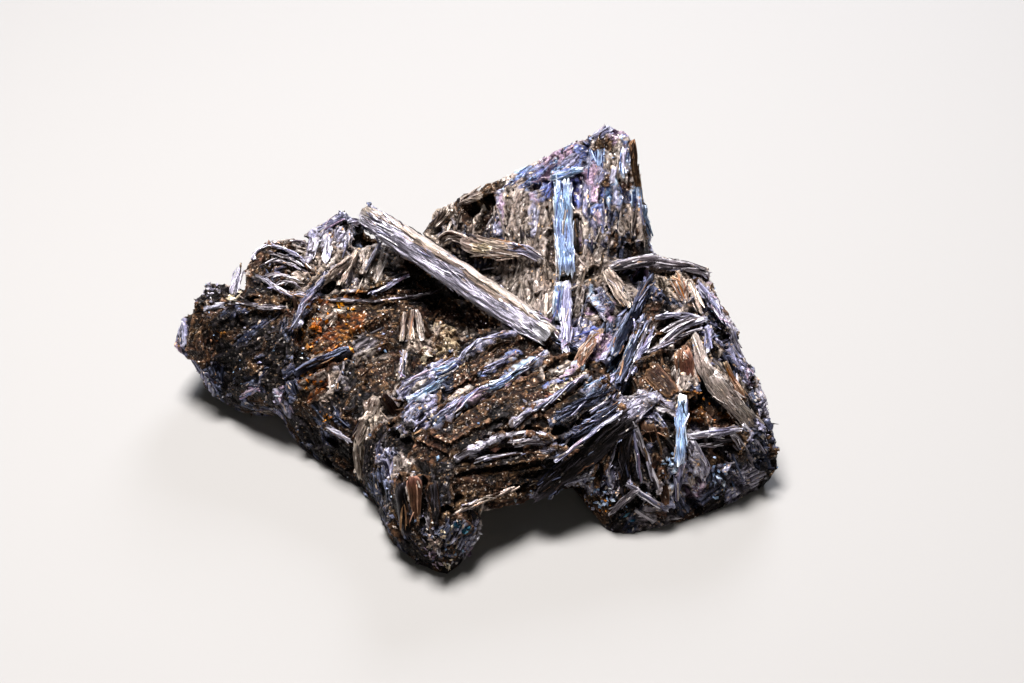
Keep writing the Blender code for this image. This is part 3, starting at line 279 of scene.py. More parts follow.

# %% The sheaves of the display side: across, up, reach, run, length, finish
# The dark sheaves low on the west face, on the lower lobes and along the foot lie on steep faces that look
# down toward the eye. Their near-black finish is partly the mineral's own colour and partly painted shade,
# the shade those faces have under a lamp from above.
SHEAVES = table("""
    -39 1 3 60 1.2 umber
    -38 5.5 2.2 20 1.2 dark
    -31 9.5 2.6 28 2 brown
    -28.2 11 2.4 -20 2.2 brown
    -27 8 2.2 -22 2 khaki
    -31 5.8 2.4 -18 2 umber
    -34 1 4 25 1.6 dark
    -31 -3 3.6 32 1.5 dark
    -34.5 -6.5 2.6 30 1.3 dark
    -27.3 2 1.5 72 2.2 slate
    -25.2 7 1.5 60 2.2 lavender
    -23 13 2.6 62 2.6 silver
    -21.4 8.8 2.4 58 2.8 khaki
    -17 9.6 2.8 70 2.8 dust
    -14 7.2 2.2 12 2.2 umber
    -24.6 2.6 2.4 24 1.2 amber
    -20.4 3.8 2.2 14 1.3 amber
    -16 3.6 2.4 12 1.8 umber
    -21.6 0 2.6 24 1.3 amber
    -17.4 -1.6 2.4 16 1.4 brown
    -25.2 -4.6 2.4 30 1.3 amber
    -26.6 -7.6 2.2 60 1.2 dark
    -20.6 -6.8 3 62 1.6 umber
    -22.8 -10.4 2.6 -40 1.8 dark
    -25.8 -12 2.2 -42 1.2 dark
    -21 -14.6 2.4 -38 1.4 dark
    -17 -9 2.4 68 2.4 khaki
    -15 -12.4 2.4 70 2 dark
    -17.6 -16.4 2.6 78 1.6 dark
    -12.8 -19.6 2.4 86 2.2 brown
    -9.2 -18 2.6 76 1.4 dark
    -7.6 -23.6 2.8 50 1 slate
    -9.4 -26.8 2.6 -20 1 dark
    -12.8 -24.4 2.4 -55 1.6 dark
    -12.4 1.8 2.4 88 2.4 umber
    -8.6 0.4 1.3 35 0.9 crust
    -13 -3.2 2.2 80 2.2 brown
    -9.6 -4.4 2.4 29 2.4 slate
    -4.6 -2 3.2 34 2.2 umber
    0.6 -0.8 3 20 2 umber
    -11.6 -7.8 2.4 33 2.2 lavender
    -9.2 -11.2 2.6 33 2 umber
    -5.4 -6.6 3 30 2.2 umber
    0.4 -4.6 3 30 2.4 umber
    5.2 -3.4 2.6 33 2.4 brown
    -6 -11 3 30 2 umber
    -0.4 -9 3 30 2 umber
    4.6 -7.4 3 33 2.4 umber
    9.4 -5.4 3 38 2.6 slate
    -4 -13.6 2.2 12 1.8 silver
    2.6 -12.4 2.2 -4 1.8 silver
    -4.6 -17 3.4 14 1.5 umber
    0.8 -17 3 22 1.6 umber
    8.4 -10.4 3 38 2.4 dark
    6.6 -15.4 2.8 40 2.4 dark
    -9 14.6 2.2 -58 2.4 khaki
    -4.4 16.4 2.4 76 1.8 khaki
    -0.4 15.4 2.8 84 2.2 dust
    3.4 14.6 2.8 90 2.4 dust
    0.6 10.4 2.6 84 2.4 dust
    3.8 7 2.8 86 2.8 dust
    3.6 20.4 2 30 1.8 iris
    8.6 23.2 2 42 1.8 iris
    10.2 19.4 2.8 84 2 iris
    12.8 23.2 2.4 90 2 iris
    11.6 26 2.2 60 1.6 iris
    13.9 22.6 1.4 90 2 blue
    16.6 15 1.4 90 1.8 blue
    10.8 16.6 2 86 2 rose
    12.6 17.6 2.4 88 2 blue
    10.6 13.4 2.8 82 2.2 lavender
    14.4 14.6 2.2 88 2.2 dust
    15.4 21 1.8 90 2.4 brown
    8.8 9.2 2.6 78 2.6 dust
    8.6 14.6 2 84 2.4 dust
    6.2 4 2.6 88 2.4 lavender
    13.4 7.6 2.2 -58 2.8 dust
    10.8 4.8 2 20 1.2 lavender
    14.2 2.6 2.4 62 3 slate
    10.8 -0.6 2.4 52 2.6 iris
    20 6.6 2.6 -60 2 khaki
    17.8 4.2 2.2 55 2 brown
    20.6 2.2 2.4 12 2.2 brown
    24.8 5.2 2 -54 2.2 lavender
    18.2 -3.2 2.4 -70 2 umber
    21.8 -4 2 -80 2.4 orange
    24.8 -2.4 2.2 -62 2.8 khaki
    27.8 -6 2.4 -52 2.8 dust
    28.8 -2.6 2 -60 1.8 lavender
    31.2 -9 2.2 -64 1.8 slate
    24.6 -8.4 2.4 -48 1.4 amber
    16.6 -8.6 2.2 -30 1.8 silver
    14.4 -13.6 2.4 78 2.4 dark
    11.2 -17.2 2.6 72 1.4 silver
    18 -14.4 2.4 -70 2.6 dark
    13.6 -20.8 2.6 58 1.6 dark
    18.4 -20.6 2.6 -30 1.6 ash
    22.6 -17.6 2.6 -66 1.8 lavender
    25.4 -12.8 2.2 -50 2 ash
    24.8 -20 2.4 24 1.1 dark
    29 -17.2 2.4 20 1.1 silver
    31.6 -14.2 2.4 -50 1.4 slate
""")
sheaf_middles = [strike(across, up) for across, up, *_ in SHEAVES]
sheaf_reaches = [row[2] for row in SHEAVES]
sheaf_runs = [
    math.cos(math.radians(row[3])) * RIGHT + math.sin(math.radians(row[3])) * UPWARD for row in SHEAVES
]
sheaf_lengths = [row[4] for row in SHEAVES]
sheaf_finishes = [FINISH_NAMES.index(row[5]) for row in SHEAVES]
print(len(SHEAVES), "sheaves on the display side")

# %% [markdown]
# The sides that face away get sheaves too. Their middles are picked at random on the solid's faces,
# kept a few millimetres apart, and their blades stand nearly upright, as the fin's do in front.

# %% Sheaves of the hidden sides
HIDDEN_TRIES = 4000
HIDDEN_APART = 6.0
HIDDEN_REACH = 2.2
HIDDEN_LEAN = 0.55
HIDDEN_LENGTHS = (1.8, 3.6)
HIDDEN_FINISHES = ("dark", "umber", "slate", "brown", "umber", "dark", "khaki", "lavender", "brown", "slate")


def face_samples(mesh, count):
    """Random places on a mesh in mm, even by area, with the normal of the face each is on."""
    mesh.calc_loop_triangles()
    corners = np.empty(len(mesh.loop_triangles) * 3, np.int32)
    mesh.loop_triangles.foreach_get("vertices", corners)
    points = np.empty(len(mesh.vertices) * 3)
    mesh.vertices.foreach_get("co", points)
    a, b, c = np.moveaxis(points.reshape(-1, 3)[corners.reshape(-1, 3)] / MM, 1, 0)
    cross = np.cross(b - a, c - a)
    double_area = np.linalg.norm(cross, axis=1)
    picked = rng.choice(len(cross), count, p=double_area / double_area.sum())
    u, v = rng.random((2, count, 1))
    folded = u + v > 1.0
    u, v = np.where(folded, 1.0 - u, u), np.where(folded, 1.0 - v, v)
    places = a[picked] + u * (b - a)[picked] + v * (c - a)[picked]
    return places, cross[picked] / double_area[picked, None]


def sees_eye(places, normals):
    """How squarely each face looks at the eye of the display side, from -1 to 1."""
    toward = EYE - places
    toward /= np.linalg.norm(toward, axis=1)[:, None]
    return np.sum(toward * normals, axis=1)


# The faces that look away from the eye, and not down at the table
places, normals = face_samples(solid, HIDDEN_TRIES)
hidden = (sees_eye(places, normals) < -0.05) & (normals[:, 2] > -0.8)
front_count = len(sheaf_middles)
for place, normal in zip(places[hidden], normals[hidden]):
    others = np.array(sheaf_middles[front_count:] or [[1e3, 1e3, 1e3]])
    if np.min(np.linalg.norm(others - place, axis=1)) < HIDDEN_APART:
        continue
    level = np.cross([0.0, 0.0, 1.0], normal)
    lean = rng.normal(0.0, HIDDEN_LEAN)
    sheaf_middles.append(place)
    sheaf_reaches.append(HIDDEN_REACH)
    sheaf_runs.append(np.array([0.0, 0.0, 1.0]) * math.cos(lean) + level * math.sin(lean))
    sheaf_lengths.append(rng.uniform(*HIDDEN_LENGTHS))
    sheaf_finishes.append(FINISH_NAMES.index(HIDDEN_FINISHES[rng.integers(len(HIDDEN_FINISHES))]))
sheaf_middles, sheaf_reaches, sheaf_runs, sheaf_lengths, sheaf_finishes = (
    np.array(column) for column in (sheaf_middles, sheaf_reaches, sheaf_runs, sheaf_lengths, sheaf_finishes)
)
print(len(sheaf_middles) - front_count, "sheaves on the hidden sides")

# %% Which sheaf a place is in, and which way its blades run there
SHAKE_FRONT = 0.9
SHAKE_BEHIND = 2.4
FIN_TIP = 26.0


def nearest(points, seeds, scales=1.0, chunk=20000):
    """For each point, the number of the seed with the least distance over scale.

    The square of the distance is p.p - 2 p.s + s.s, which is one matrix product for many points.
    """
    seeds = seeds.astype(np.float32)
    sizes = np.sum(seeds * seeds, axis=1)
    found = []
    for part in np.array_split(points.astype(np.float32), len(points) // chunk + 1):
        squared = np.sum(part * part, axis=1)[:, None] - 2.0 * part @ seeds.T + sizes
        found.append(np.argmin(squared / np.float32(scales) ** 2, axis=1))
    return np.concatenate(found)


def sheaf_of(points):
    """Each point's sheaf. The points are shaken by noise first, so borders are uneven.

    Behind, where the sheaves are larger, the shaking is wider.
    """
    shake = [noise(points * 0.55, seed) + 0.5 * noise(points * 1.4, seed + 40) for seed in (1, 2, 3)]
    behind = np.clip((points[:, 1:2] - 4.0) / 8.0, 0.0, 1.0) * (points[:, 2:] < FIN_TIP)
    wide = SHAKE_FRONT + (SHAKE_BEHIND - SHAKE_FRONT) * behind
    return nearest(points + wide * np.stack(shake, axis=-1), sheaf_middles, sheaf_reaches)


def unit(vectors):
    """Each vector divided by its length."""
    return vectors / np.maximum(np.linalg.norm(vectors, axis=-1, keepdims=True), 1e-9)


def laid_along(runs, normals):
    """Each run turned into its surface: the run less its part along the normal."""
    flat = runs - np.sum(runs * normals, axis=-1, keepdims=True) * normals
    weak = np.linalg.norm(flat, axis=-1, keepdims=True) < 0.15
    other = np.cross(normals, RIGHT)
    return unit(np.where(weak, other, flat))


front_share = np.mean(sheaf_of(places) < front_count)
print("the display side's sheaves cover", round(100 * front_share), "% of the solid")

# %% [markdown]
# ## The crystal mass
#
# The solid's flat facets would look carved. A voxel remesh gives an even, dense skin, and then each
# small plate of it is pushed in or out along its own grain: long grooves along the blades, and a step
# where one plate ends and the next begins. Last, a decimate keeps the triangles where the form turns.

# %% An even skin over the solid
VOXEL = 0.24
MASS_TRIANGLES = 190000


def with_modifier(mesh, kind, **settings):
    """A new mesh: the old one with one modifier applied."""
    obj = bpy.data.objects.new("working", mesh)
    bpy.context.scene.collection.objects.link(obj)
    modifier = obj.modifiers.new(kind, kind)
    for name, value in settings.items():
        setattr(modifier, name, value)
    bpy.context.view_layer.update()
    made = bpy.data.meshes.new_from_object(obj.evaluated_get(bpy.context.evaluated_depsgraph_get()))
    bpy.data.objects.remove(obj)
    return made


def vertices_of(mesh):
    """Vertex places in mm and vertex normals of a mesh."""
    points = np.empty(len(mesh.vertices) * 3, np.float32)
    normals = np.empty(len(mesh.vertices) * 3, np.float32)
    mesh.vertices.foreach_get("co", points)
    mesh.vertex_normals.foreach_get("vector", normals)
    return points.reshape(-1, 3).astype(float) / MM, normals.reshape(-1, 3).astype(float)


def move_vertices(mesh, points):
    """Moves a mesh's vertices to these places, in mm."""
    mesh.vertices.foreach_set("co", (points * MM).astype(np.float32).ravel())
    mesh.update()


skin = with_modifier(solid, "REMESH", mode="VOXEL", voxel_size=VOXEL * MM)
skin_points, skin_normals = vertices_of(skin)
print("the skin has", len(skin.vertices), "vertices")

# %% Plates of the skin: each its own step, turn, finish and grain
PLATE_COUNT = 3200
PLATE_TURN = math.radians(10.0)
PLATE_SQUEEZE = 0.65
PLATE_SHIFT = 17.0
plate_seeds, plate_normals = face_samples(solid, PLATE_COUNT)
plate_steps = rng.uniform(-1.0, 1.0, PLATE_COUNT)
plate_turns = rng.normal(0.0, PLATE_TURN, PLATE_COUNT)
plate_tones = rng.random(PLATE_COUNT)
plate_sheaf = sheaf_of(plate_seeds)
plate_finish = MIX_TABLE[sheaf_finishes[plate_sheaf], rng.integers(MIX_SIZE, size=PLATE_COUNT)]


def turned_about(vectors, axes, angles):
    """Vectors turned about unit axes at right angles to them: v cos a + (axis x v) sin a."""
    return vectors * np.cos(angles)[..., None] + np.cross(axes, vectors) * np.sin(angles)[..., None]


plate_rugged = RUGGED[sheaf_finishes[plate_sheaf]]
plate_felted = FELTED[plate_finish]
plate_along = laid_along(sheaf_runs[plate_sheaf], plate_normals)
plate_along = turned_about(plate_along, plate_normals, plate_turns)
plate_frames = np.stack([plate_along, np.cross(plate_normals, plate_along), plate_normals], axis=1)
print(PLATE_COUNT, "plates,", round(100 * float(np.mean(plate_felted > 0.5))), "% of them felted")


def plate_of(points):
    """Each point's plate: the nearest seed of its sheaf, with distances along the run shortened."""
    sheaf = sheaf_of(points)
    found = np.zeros(len(points), int)
    for number in np.unique(sheaf):
        here = np.flatnonzero(sheaf == number)
        seeds = np.flatnonzero(plate_sheaf == number)
        if not len(seeds):
            seeds = np.arange(PLATE_COUNT)
        run = sheaf_runs[number]
        pair = (points[here], plate_seeds[seeds])
        squeezed = [places - PLATE_SQUEEZE * (places @ run)[:, None] * run for places in pair]
        found[here] = seeds[nearest(*squeezed)]
    return found


def grain_of(points):
    """For places on the surface: their plate, and where they are in its grain.

    The grain is the place measured in mm along the blades, across them and through them. It is
    shifted by up to PLATE_SHIFT, so that no two plates show the same part of a pattern.
    """
    plate = plate_of(points)
    grain = np.einsum("ij,ikj->ik", points, plate_frames[plate])
    return plate, grain + PLATE_SHIFT * plate_tones[plate, None]


# %% The relief of the plates
PAGE_WIDTH = 0.85
PAGE_HEIGHT = 0.34
STEP_HEIGHT = 0.18
GROOVE_DEPTH = 0.09
FIBRE_DEPTH = 0.05
GRIT_HEIGHT = 0.13


def relief_of(plate, grain):
    """Height in mm over the solid, and the place from 0 to 1 within a page of the stack.

    Pages overlap like shingles: the height is a saw wave across the grain, whose teeth waver along
    it. The plate's own step, long grooves and fine fibres are added.
    """
    waver = noise(grain * (0.13, 0.5, 0.5), 11)
    phase = grain[:, 1] / PAGE_WIDTH + 0.8 * waver + plate_tones[plate] * 3.0
    page = phase - np.floor(phase)
    strength = 0.65 + 0.35 * noise(grain * (0.35, 0.8, 0.8), 12)
    grooves = noise(grain * (0.22, 2.2, 2.2), 13)
    fibres = noise(grain * (0.5, 4.6, 4.6), 14)
    grit = noise(grain * 1.5, 17) + 0.6 * noise(grain * 3.1, 18)
    felt = plate_felted[plate]
    height = STEP_HEIGHT * plate_steps[plate] + PAGE_HEIGHT * (page - 0.5) * strength * (1.0 - 0.5 * felt)
    height = plate_rugged[plate] * (height + GROOVE_DEPTH * grooves * (1.0 - 0.6 * felt))
    return height + FIBRE_DEPTH * fibres + GRIT_HEIGHT * felt * grit, page


heights, _ = relief_of(*grain_of(plate_seeds))
print("the relief runs from", round(heights.min(), 2), "to", round(heights.max(), 2), "mm")

# %% Paths given by sight
def smooth_path(knots, rings):
    """A curve through the knots: Catmull-Rom, each stretch a cubic of four neighbouring knots."""
    knots = np.array(knots)
    if len(knots) == 2:
        share = np.linspace(0.0, 1.0, rings)[:, None]
        return knots[0] + share * (knots[1] - knots[0])
    padded = np.concatenate([[2 * knots[0] - knots[1]], knots, [2 * knots[-1] - knots[-2]]])
    place = np.linspace(0.0, len(knots) - 1.0 - 1e-9, rings)
    leg = place.astype(int)
    t = (place - leg)[:, None]
    a, b, c, d = (padded[leg + i] for i in range(4))
    return 0.5 * (2 * b + (c - a) * t + (2 * a - 5 * b + 4 * c - d) * t**2 + (3 * b - a - 3 * c + d) * t**3)


def sighted_path(knots, each, rings):
    """A smooth path over the solid. Each knot is this many numbers: across, up and perhaps lift."""
    return smooth_path([strike(*knots[i:i + each]) for i in range(0, len(knots), each)], rings)


print("a path through three knots:", smooth_path([[0, 0], [2, 1], [4, 0]], 5).round(2).tolist())

# %% [markdown]
# ## Smooth ground, clefts and ribs
#
# Three features are worked into the skin before its colour. Where the brown felt is thick it has
# buried the plates, so the skin is eased there. Where blades part, or one has dropped out, there is a
# deep dark cleft. And where many plates end side by side, their edges stand up as a bright rib.
# A sculptor would brush them on. Here each is a line, and a vertex moves by how near the line it is,
# which can be run again on a finer skin. On the hidden sides the clefts are placed at random, along
# the blades.

# %% Smooth ground: middle (across, up), reach in mm
EASED = table("""
    -3.6 -16.6 5
    2 -16 4
    -1 -14.6 3
    0.8 15.4 5
    1.4 11 4.5
    3.6 16.6 3.5
    10.8 14 4.5
    12 20 3.5
    9.6 9.6 3
""")
EASE_ROUNDS = 40
EASE_SHARE = 0.7


def edge_ends(mesh):
    """The two vertices of each edge, as two arrays of numbers."""
    ends = np.empty(len(mesh.edges) * 2, np.int32)
    mesh.edges.foreach_get("vertices", ends)
    return ends.reshape(-1, 2).T


def eased(mesh, points):
    """Points near the eased places, drawn to the mean of their neighbours a little, many times."""
    first, second = edge_ends(mesh)
    weight = np.zeros(len(points))
    for across, up, reach in EASED:
        away = np.linalg.norm(points - strike(across, up), axis=1)
        weight = np.maximum(weight, np.clip(1.5 - 1.5 * away / reach, 0.0, 1.0))
    near = np.flatnonzero((weight[first] > 0.0) | (weight[second] > 0.0))
    first, second = first[near], second[near]
    count = np.bincount(first, minlength=len(points)) + np.bincount(second, minlength=len(points))
    for _ in range(EASE_ROUNDS):
        total = np.zeros_like(points)
        for here, there in ((first, second), (second, first)):
            for axis in range(3):
                total[:, axis] += np.bincount(here, points[there, axis], len(points))
        drawn = total / np.maximum(count, 1)[:, None]
        step = EASE_SHARE * weight[:, None] * (drawn - points)
        points = np.where(weight[:, None] > 0.0, points + step, points)
    return points


move_vertices(skin, eased(skin, skin_points))
skin_points, skin_normals = vertices_of(skin)
print("the ground is eased in", len(EASED), "places")

# %% Clefts: depth, half width, knots (across, up)
CLEFTS = table("""
    1.3 0.7  7.9 15.4  8.2 11.4
    1 0.6  4.7 13.4  4.9 9
    0.9 0.6  9.2 8.6  8.4 4.8  8 2.4
    1 0.7  8.9 7.2  10.2 9
    1.4 0.9  -9.6 14.2  -8.2 15.9
    1.6 1  -5.6 15.6  -4.8 17.2
    1.1 0.7  -4.2 13.8  -2.6 17.8
    1 0.5  2.4 19  4.6 20.6
    1.3 0.9  12.4 8.6  17 9
    1.1 0.6  17.6 0  21.4 2.2
    1 0.6  18.4 1.9  23 3.9
    1.4 0.8  16.4 -1.2  20.6 0.9
    2 1.5  24.2 -6.6  26.6 -9.6
    1.6 1  22.6 -7.4  23.4 -10.6
    1.5 0.7  23.9 -4.4  28.9 -10.2
    1.6 1  26.4 -13.2  28.6 -14.8
    1.3 0.8  30.8 -14.4  32.4 -15.6
    1.4 0.8  15.6 -11.2  18.4 -19.4
    1.3 0.7  19.4 -9.6  20.4 -17.4
    1.2 0.7  13.4 -12  13.8 -17.4
    1.2 0.6  22.6 -12.9  27.6 -12.3
    1 0.6  10.4 -14.2  12 -19.4
    1.2 0.6  4.4 -17.6  13.8 -11.6
    1.1 0.5  -1.8 -11  3.4 -11.1
    1.1 0.5  -4.6 -13.9  0.6 -13.3
    0.9 0.5  -13.4 -7  -9.4 -4.8  -3.4 -0.6
    0.9 0.5  -9 -10.7  -5.4 -8.1  3.6 -2.6
    0.9 0.5  0.4 -11  8.8 -5.2
    1 0.6  5.4 -11.3  13 -6.9
    1 0.6  12.3 -3.9  14.8 1.6
    1.2 0.6  -13 -12.6  -11.6 -9.4
    1.4 0.8  -14.8 -13.6  -14.6 -18.6
    1.2 0.7  -16 -7.4  -14.4 -11.6
    1.3 0.9  -24.4 -14.2  -22.7 -15.3
    1.2 0.7  -19.9 -12.6  -20.4 -16.6
    1 0.6  -27 0.4  -26.4 -4.4
    1.1 0.7  -27.4 3  -25.6 6.6
    1.3 0.8  -23.4 6.5  -21.9 7.7
    1.5 1  -19.8 12.3  -17.7 13.5
    1.2 0.7  -30.9 8.3  -28.6 11.1  -26.6 11.3
    1.2 0.7  -29.8 7.3  -27.6 9.2  -25.8 9.1
    1 0.6  -32.4 5.2  -27.4 4.8
    1.1 0.7  -35.4 6.6  -35.2 4  -33.8 1.8
    1 0.6  -18.6 5.5  -13 7.8
    0.9 0.5  -24.6 -3.6  -20.4 -1.9
    0.9 0.5  -13.1 -16.8  -13.3 -23.6
    1 0.6  -11 -17.6  -10.9 -22.6
    1 0.6  -9.2 -21.6  -6.6 -19.4
    1 0.6  16.2 -18.2  20.4 -21.6
    1.1 0.7  21.6 -18.4  23.4 -21.4
    1.1 0.7  26 -16.4  29.4 -18.6
    1 0.6  22.2 6.9  26.6 0.4
    0.9 0.5  18.6 7.6  20.6 3.4
    0.9 0.5  14.9 25  14.9 19.4
""")
LINE_STEPS = 64
HIDDEN_CLEFTS = 55
cleft_lines = [(depth, half, sighted_path(knots, 2, LINE_STEPS)) for depth, half, *knots in CLEFTS]
# Plates that look away from the eye, off the table and not down at it
hidden_seeds = np.flatnonzero(
    (sees_eye(plate_seeds, plate_normals) < -0.1) & (plate_seeds[:, 2] > 2.5) & (plate_normals[:, 2] > -0.6)
)
for number in rng.choice(hidden_seeds, HIDDEN_CLEFTS, replace=False):
    stretch = np.linspace(-0.5, 0.5, LINE_STEPS)[:, None] * rng.uniform(2.5, 6.5) * plate_along[number]
    cleft_lines.append((rng.uniform(0.8, 1.5), rng.uniform(0.45, 0.8), plate_seeds[number] + stretch))
print(len(CLEFTS), "clefts in front and", HIDDEN_CLEFTS, "on the hidden sides")

# %% Ribs: height, half width, finish, knots (across, up)
RIBS = table("""
    0.4 0.9 lavender  -14 -6.6  -10 -4.2
    0.4 0.6 lavender  -10.4 -4.4  -6.5 -2.7  -3 0.2  0.2 0.9
    0.4 0.9 blue  -12.6 -7.4  -9 -5.3
    0.3 0.8 blue  -9.4 -4.2  -6.6 -2.6
    0.4 1 lavender  -13.8 -11.2  -11.8 -8.4
    0.35 0.9 rose  -7.6 -6.9  -5.6 -5.8
    0.4 1 lavender  -9.6 -10.1  -6 -7.5
    0.4 0.6 lavender  -6.4 -7.8  -1 -5.2  4.3 -1.4
    0.35 0.9 blue  -1.2 -4.9  2.6 -2.4
    0.4 0.8 iris  -3.8 -3.8  0.4 -1.6
    0.45 0.55 silver  0 -10.2  2.5 -8.4  5.2 -6.8  9 -4.2
    0.3 0.7 iris  4.4 -5.6  8.8 -2.6
    0.5 0.5 silver  -7 -14.4  -4 -13  -1.8 -12.3
    0.5 0.45 silver  -2.4 -12.1  1.5 -11.6  5 -12.4
    0.35 1 slate  5.4 -10  12.6 -5.8
    0.35 1 slate  5.4 -13.2  13.4 -8.2
    0.35 0.7 blue  9.4 -6.2  12.4 -4.4
    0.4 0.7 silver  24.6 7  26.4 3.8  27.6 1.4
    0.35 0.7 lavender  27.6 1.2  30.6 -3.8
    0.35 0.7 silver  30.2 -4.4  32.4 -9.4
    0.35 0.8 silver  14.6 -8.8  17.6 -7
    0.3 0.8 blue  20.4 -15.6  19.8 -18.8
    0.3 0.8 silver  22.4 -13  24 -16.8
    0.35 0.8 lavender  -26.6 2.4  -25.2 6
    0.35 0.9 silver  -25.4 10.6  -24.6 13.2
    0.35 0.9 silver  -23.4 10.6  -22.6 13.4
    0.3 0.7 slate  -26.6 -4.4  -20.6 -1.2
    0.3 0.8 blue  12.6 20.4  13.4 17.2
    0.25 0.8 blue  14 25.4  14.2 20.6
    0.25 0.8 rose  10.6 16.4  12.2 12.4
    0.25 0.7 iris  8.4 24.2  12 26.2
    0.3 0.6 blue  16.6 16.8  17 13.2
    0.25 0.8 lavender  -1.8 13.6  -1.4 19
    0.25 0.7 lavender  2.6 18.4  2.8 13.8
    0.3 0.8 blue  9.6 6.4  11 4
    0.3 1 crust  -9.4 1.8  -7.2 -0.8
    0.3 0.6 crust  -10.8 -1.4  -11.4 -3.4
    0.3 0.7 crust  4.8 -6.4  6.6 -5.6  9.2 -3.9
    0.25 0.6 crust  -2.4 -13.4  -1.8 -13.2
""")
rib_lines = [
    (height, half, FINISH_NAMES.index(finish), sighted_path(knots, 2, LINE_STEPS))
    for height, half, finish, *knots in RIBS
]
print(len(rib_lines), "ribs")

# %% What clefts and ribs do to a place
LINE_SHAKE = 0.35


def near_line(points, line, half_width):
    """The points within half_width of a line, by number, and how near they are, from 0 to 1."""
    low, high = line.min(axis=0) - half_width, line.max(axis=0) + half_width
    near = np.flatnonzero(np.all((points > low) & (points < high), axis=1))
    offsets = points[near, None, :] - line[None, :, :]
    closeness = 1.0 - np.min(np.sum(offsets**2, axis=2), axis=1) / half_width**2
    return near, np.clip(closeness, 0.0, 1.0)


def wavering(points):
    """Points shaken by noise, so that a line through them is uneven."""
    return points + LINE_SHAKE * np.stack([noise(points * 1.1, seed) for seed in (21, 22, 23)], axis=1)


def cleft_of(points):
    """How far each point is pushed in by clefts, in mm, and how far painted shade darkens it there, from
    0 to 1.
    """
    deep, dark = np.zeros(len(points)), np.zeros(len(points))
    shaken = wavering(points)
    for depth, half_width, line in cleft_lines:
        near, closeness = near_line(shaken, line, half_width)
        deep[near] = np.maximum(deep[near], depth * closeness)
        dark[near] = np.maximum(dark[near], closeness)
    return deep, dark


def rib_of(points):
    """How far each point is raised by ribs, in mm, how near one it is, and that rib's finish.

    Noise makes a rib's crest uneven, since the plates in it broke off at different heights.
    """
    high, close = np.zeros(len(points)), np.zeros(len(points))
    finish = np.zeros(len(points), int)
    shaken = wavering(points)
    for height, half_width, number, line in rib_lines:
        near, closeness = near_line(shaken, line, half_width)
        nearer = closeness > close[near]
        close[near] = np.maximum(close[near], closeness)
        high[near[nearer]] = height * closeness[nearer] ** 0.8
        finish[near[nearer]] = number
    return high * (1.0 + 0.6 * noise(points * 2.4, 24)), close, finish


in_cleft, on_a_rib = cleft_of(plate_seeds)[1] > 0.0, rib_of(plate_seeds)[1] > 0.0
print(in_cleft.sum(), "plates are touched by a cleft and", on_a_rib.sum(), "by a rib")

# %% The skin, pushed in and out, and thinned to what it needs
SHRINK = 0.10
FOOT_HEIGHT = 0.8
push, _ = relief_of(*grain_of(skin_points))
push += rib_of(skin_points)[0] - cleft_of(skin_points)[0] - SHRINK
above_table = np.clip(skin_points[:, 2] / FOOT_HEIGHT, 0.0, 1.0)
skin_points += skin_normals * (push * above_table)[:, None]
skin_points[:, 2] = np.maximum(skin_points[:, 2], 0.0)
move_vertices(skin, skin_points)
triangles = 2 * len(skin.polygons)
mass_mesh = with_modifier(skin, "DECIMATE", ratio=min(1.0, MASS_TRIANGLES / triangles))
print("the mass has", len(mass_mesh.polygons), "faces, from", triangles)

# %% [markdown]
# ## Colour that follows growth, with painted light and shade
#
# Each vertex gets a tone from the finish of its sheaf, its place in the grain, how near it is to an
# edge, and how far the ground there is felted. The material reads these. A painted image would need
# the mass unwrapped, and its seams would show among so many blades, but its vertices are only a third
# of a millimetre apart and can carry the colours themselves. The edges are lighter, worn in patches
# and partly a painted highlight where the skin stands out, and the hollows and the foot of each page
# are painted darker as shade. Inside a cleft the tone goes dark as painted shade, since little light
# reaches there, and along a rib it turns to the rib's finish, painted a little lighter on its crest.

# %% Tones and attributes
def tone_of(finish, light, rim):
    """Colour of a finish: from shadowed to lit body by light, then toward the edge colour by rim.

    The shadowed and lit bodies are one colour in painted shade and painted light, and the edge colour
    is partly wear and partly a painted highlight.
    """
    shadow, lit, edge = np.moveaxis(FINISH_TABLE[finish], -2, 0)
    body = shadow + (lit - shadow) * np.clip(light, 0.0, 1.0)[..., None]
    return body + (edge - body) * np.clip(rim, 0.0, 1.0)[..., None]


def set_attributes(mesh, tone, grain, felt):
    """Stores each vertex's colour, grain and felting, for the material to read."""
    colours = np.concatenate([tone, np.ones((len(tone), 1))], axis=1)
    mesh.attributes.new("tone", "FLOAT_COLOR", "POINT").data.foreach_set("color", colours.ravel())
    mesh.attributes.new("grain", "FLOAT_VECTOR", "POINT").data.foreach_set("vector", grain.ravel())
    mesh.attributes.new("felt", "FLOAT", "POINT").data.foreach_set("value", felt)


def ridge_of(mesh, points, normals):
    """How far each vertex stands out from its neighbours along its normal, in mm."""
    first, second = edge_ends(mesh)
    total = np.zeros_like(points)
    count = np.zeros(len(points))
    for here, there in ((first, second), (second, first)):
        np.add.at(total, here, points[there])
        np.add.at(count, here, 1.0)
    mean = total / np.maximum(count, 1.0)[:, None]
    return np.sum((points - mean) * normals, axis=1)


print("slate, half lit:", tone_of(FINISH_NAMES.index("slate"), np.array(0.5), np.array(0.0)).round(3))

# %% The tones of the mass
mass_points, mass_normals = vertices_of(mass_mesh)
mass_plate, mass_grain = grain_of(mass_points)
_, mass_page = relief_of(mass_plate, mass_grain)
mass_ridge = ridge_of(mass_mesh, mass_points, mass_normals)
# The edge colour is partly wear, in patches picked by noise, and partly a painted highlight wherever the
# skin stands out from its neighbours.
mass_wear = 0.5 + 0.5 * noise(mass_grain * (0.4, 1.2, 1.2), 15)
mass_edge_wear_and_highlight = np.clip(mass_ridge / 0.08 - 0.2, 0.0, 1.0) * mass_wear
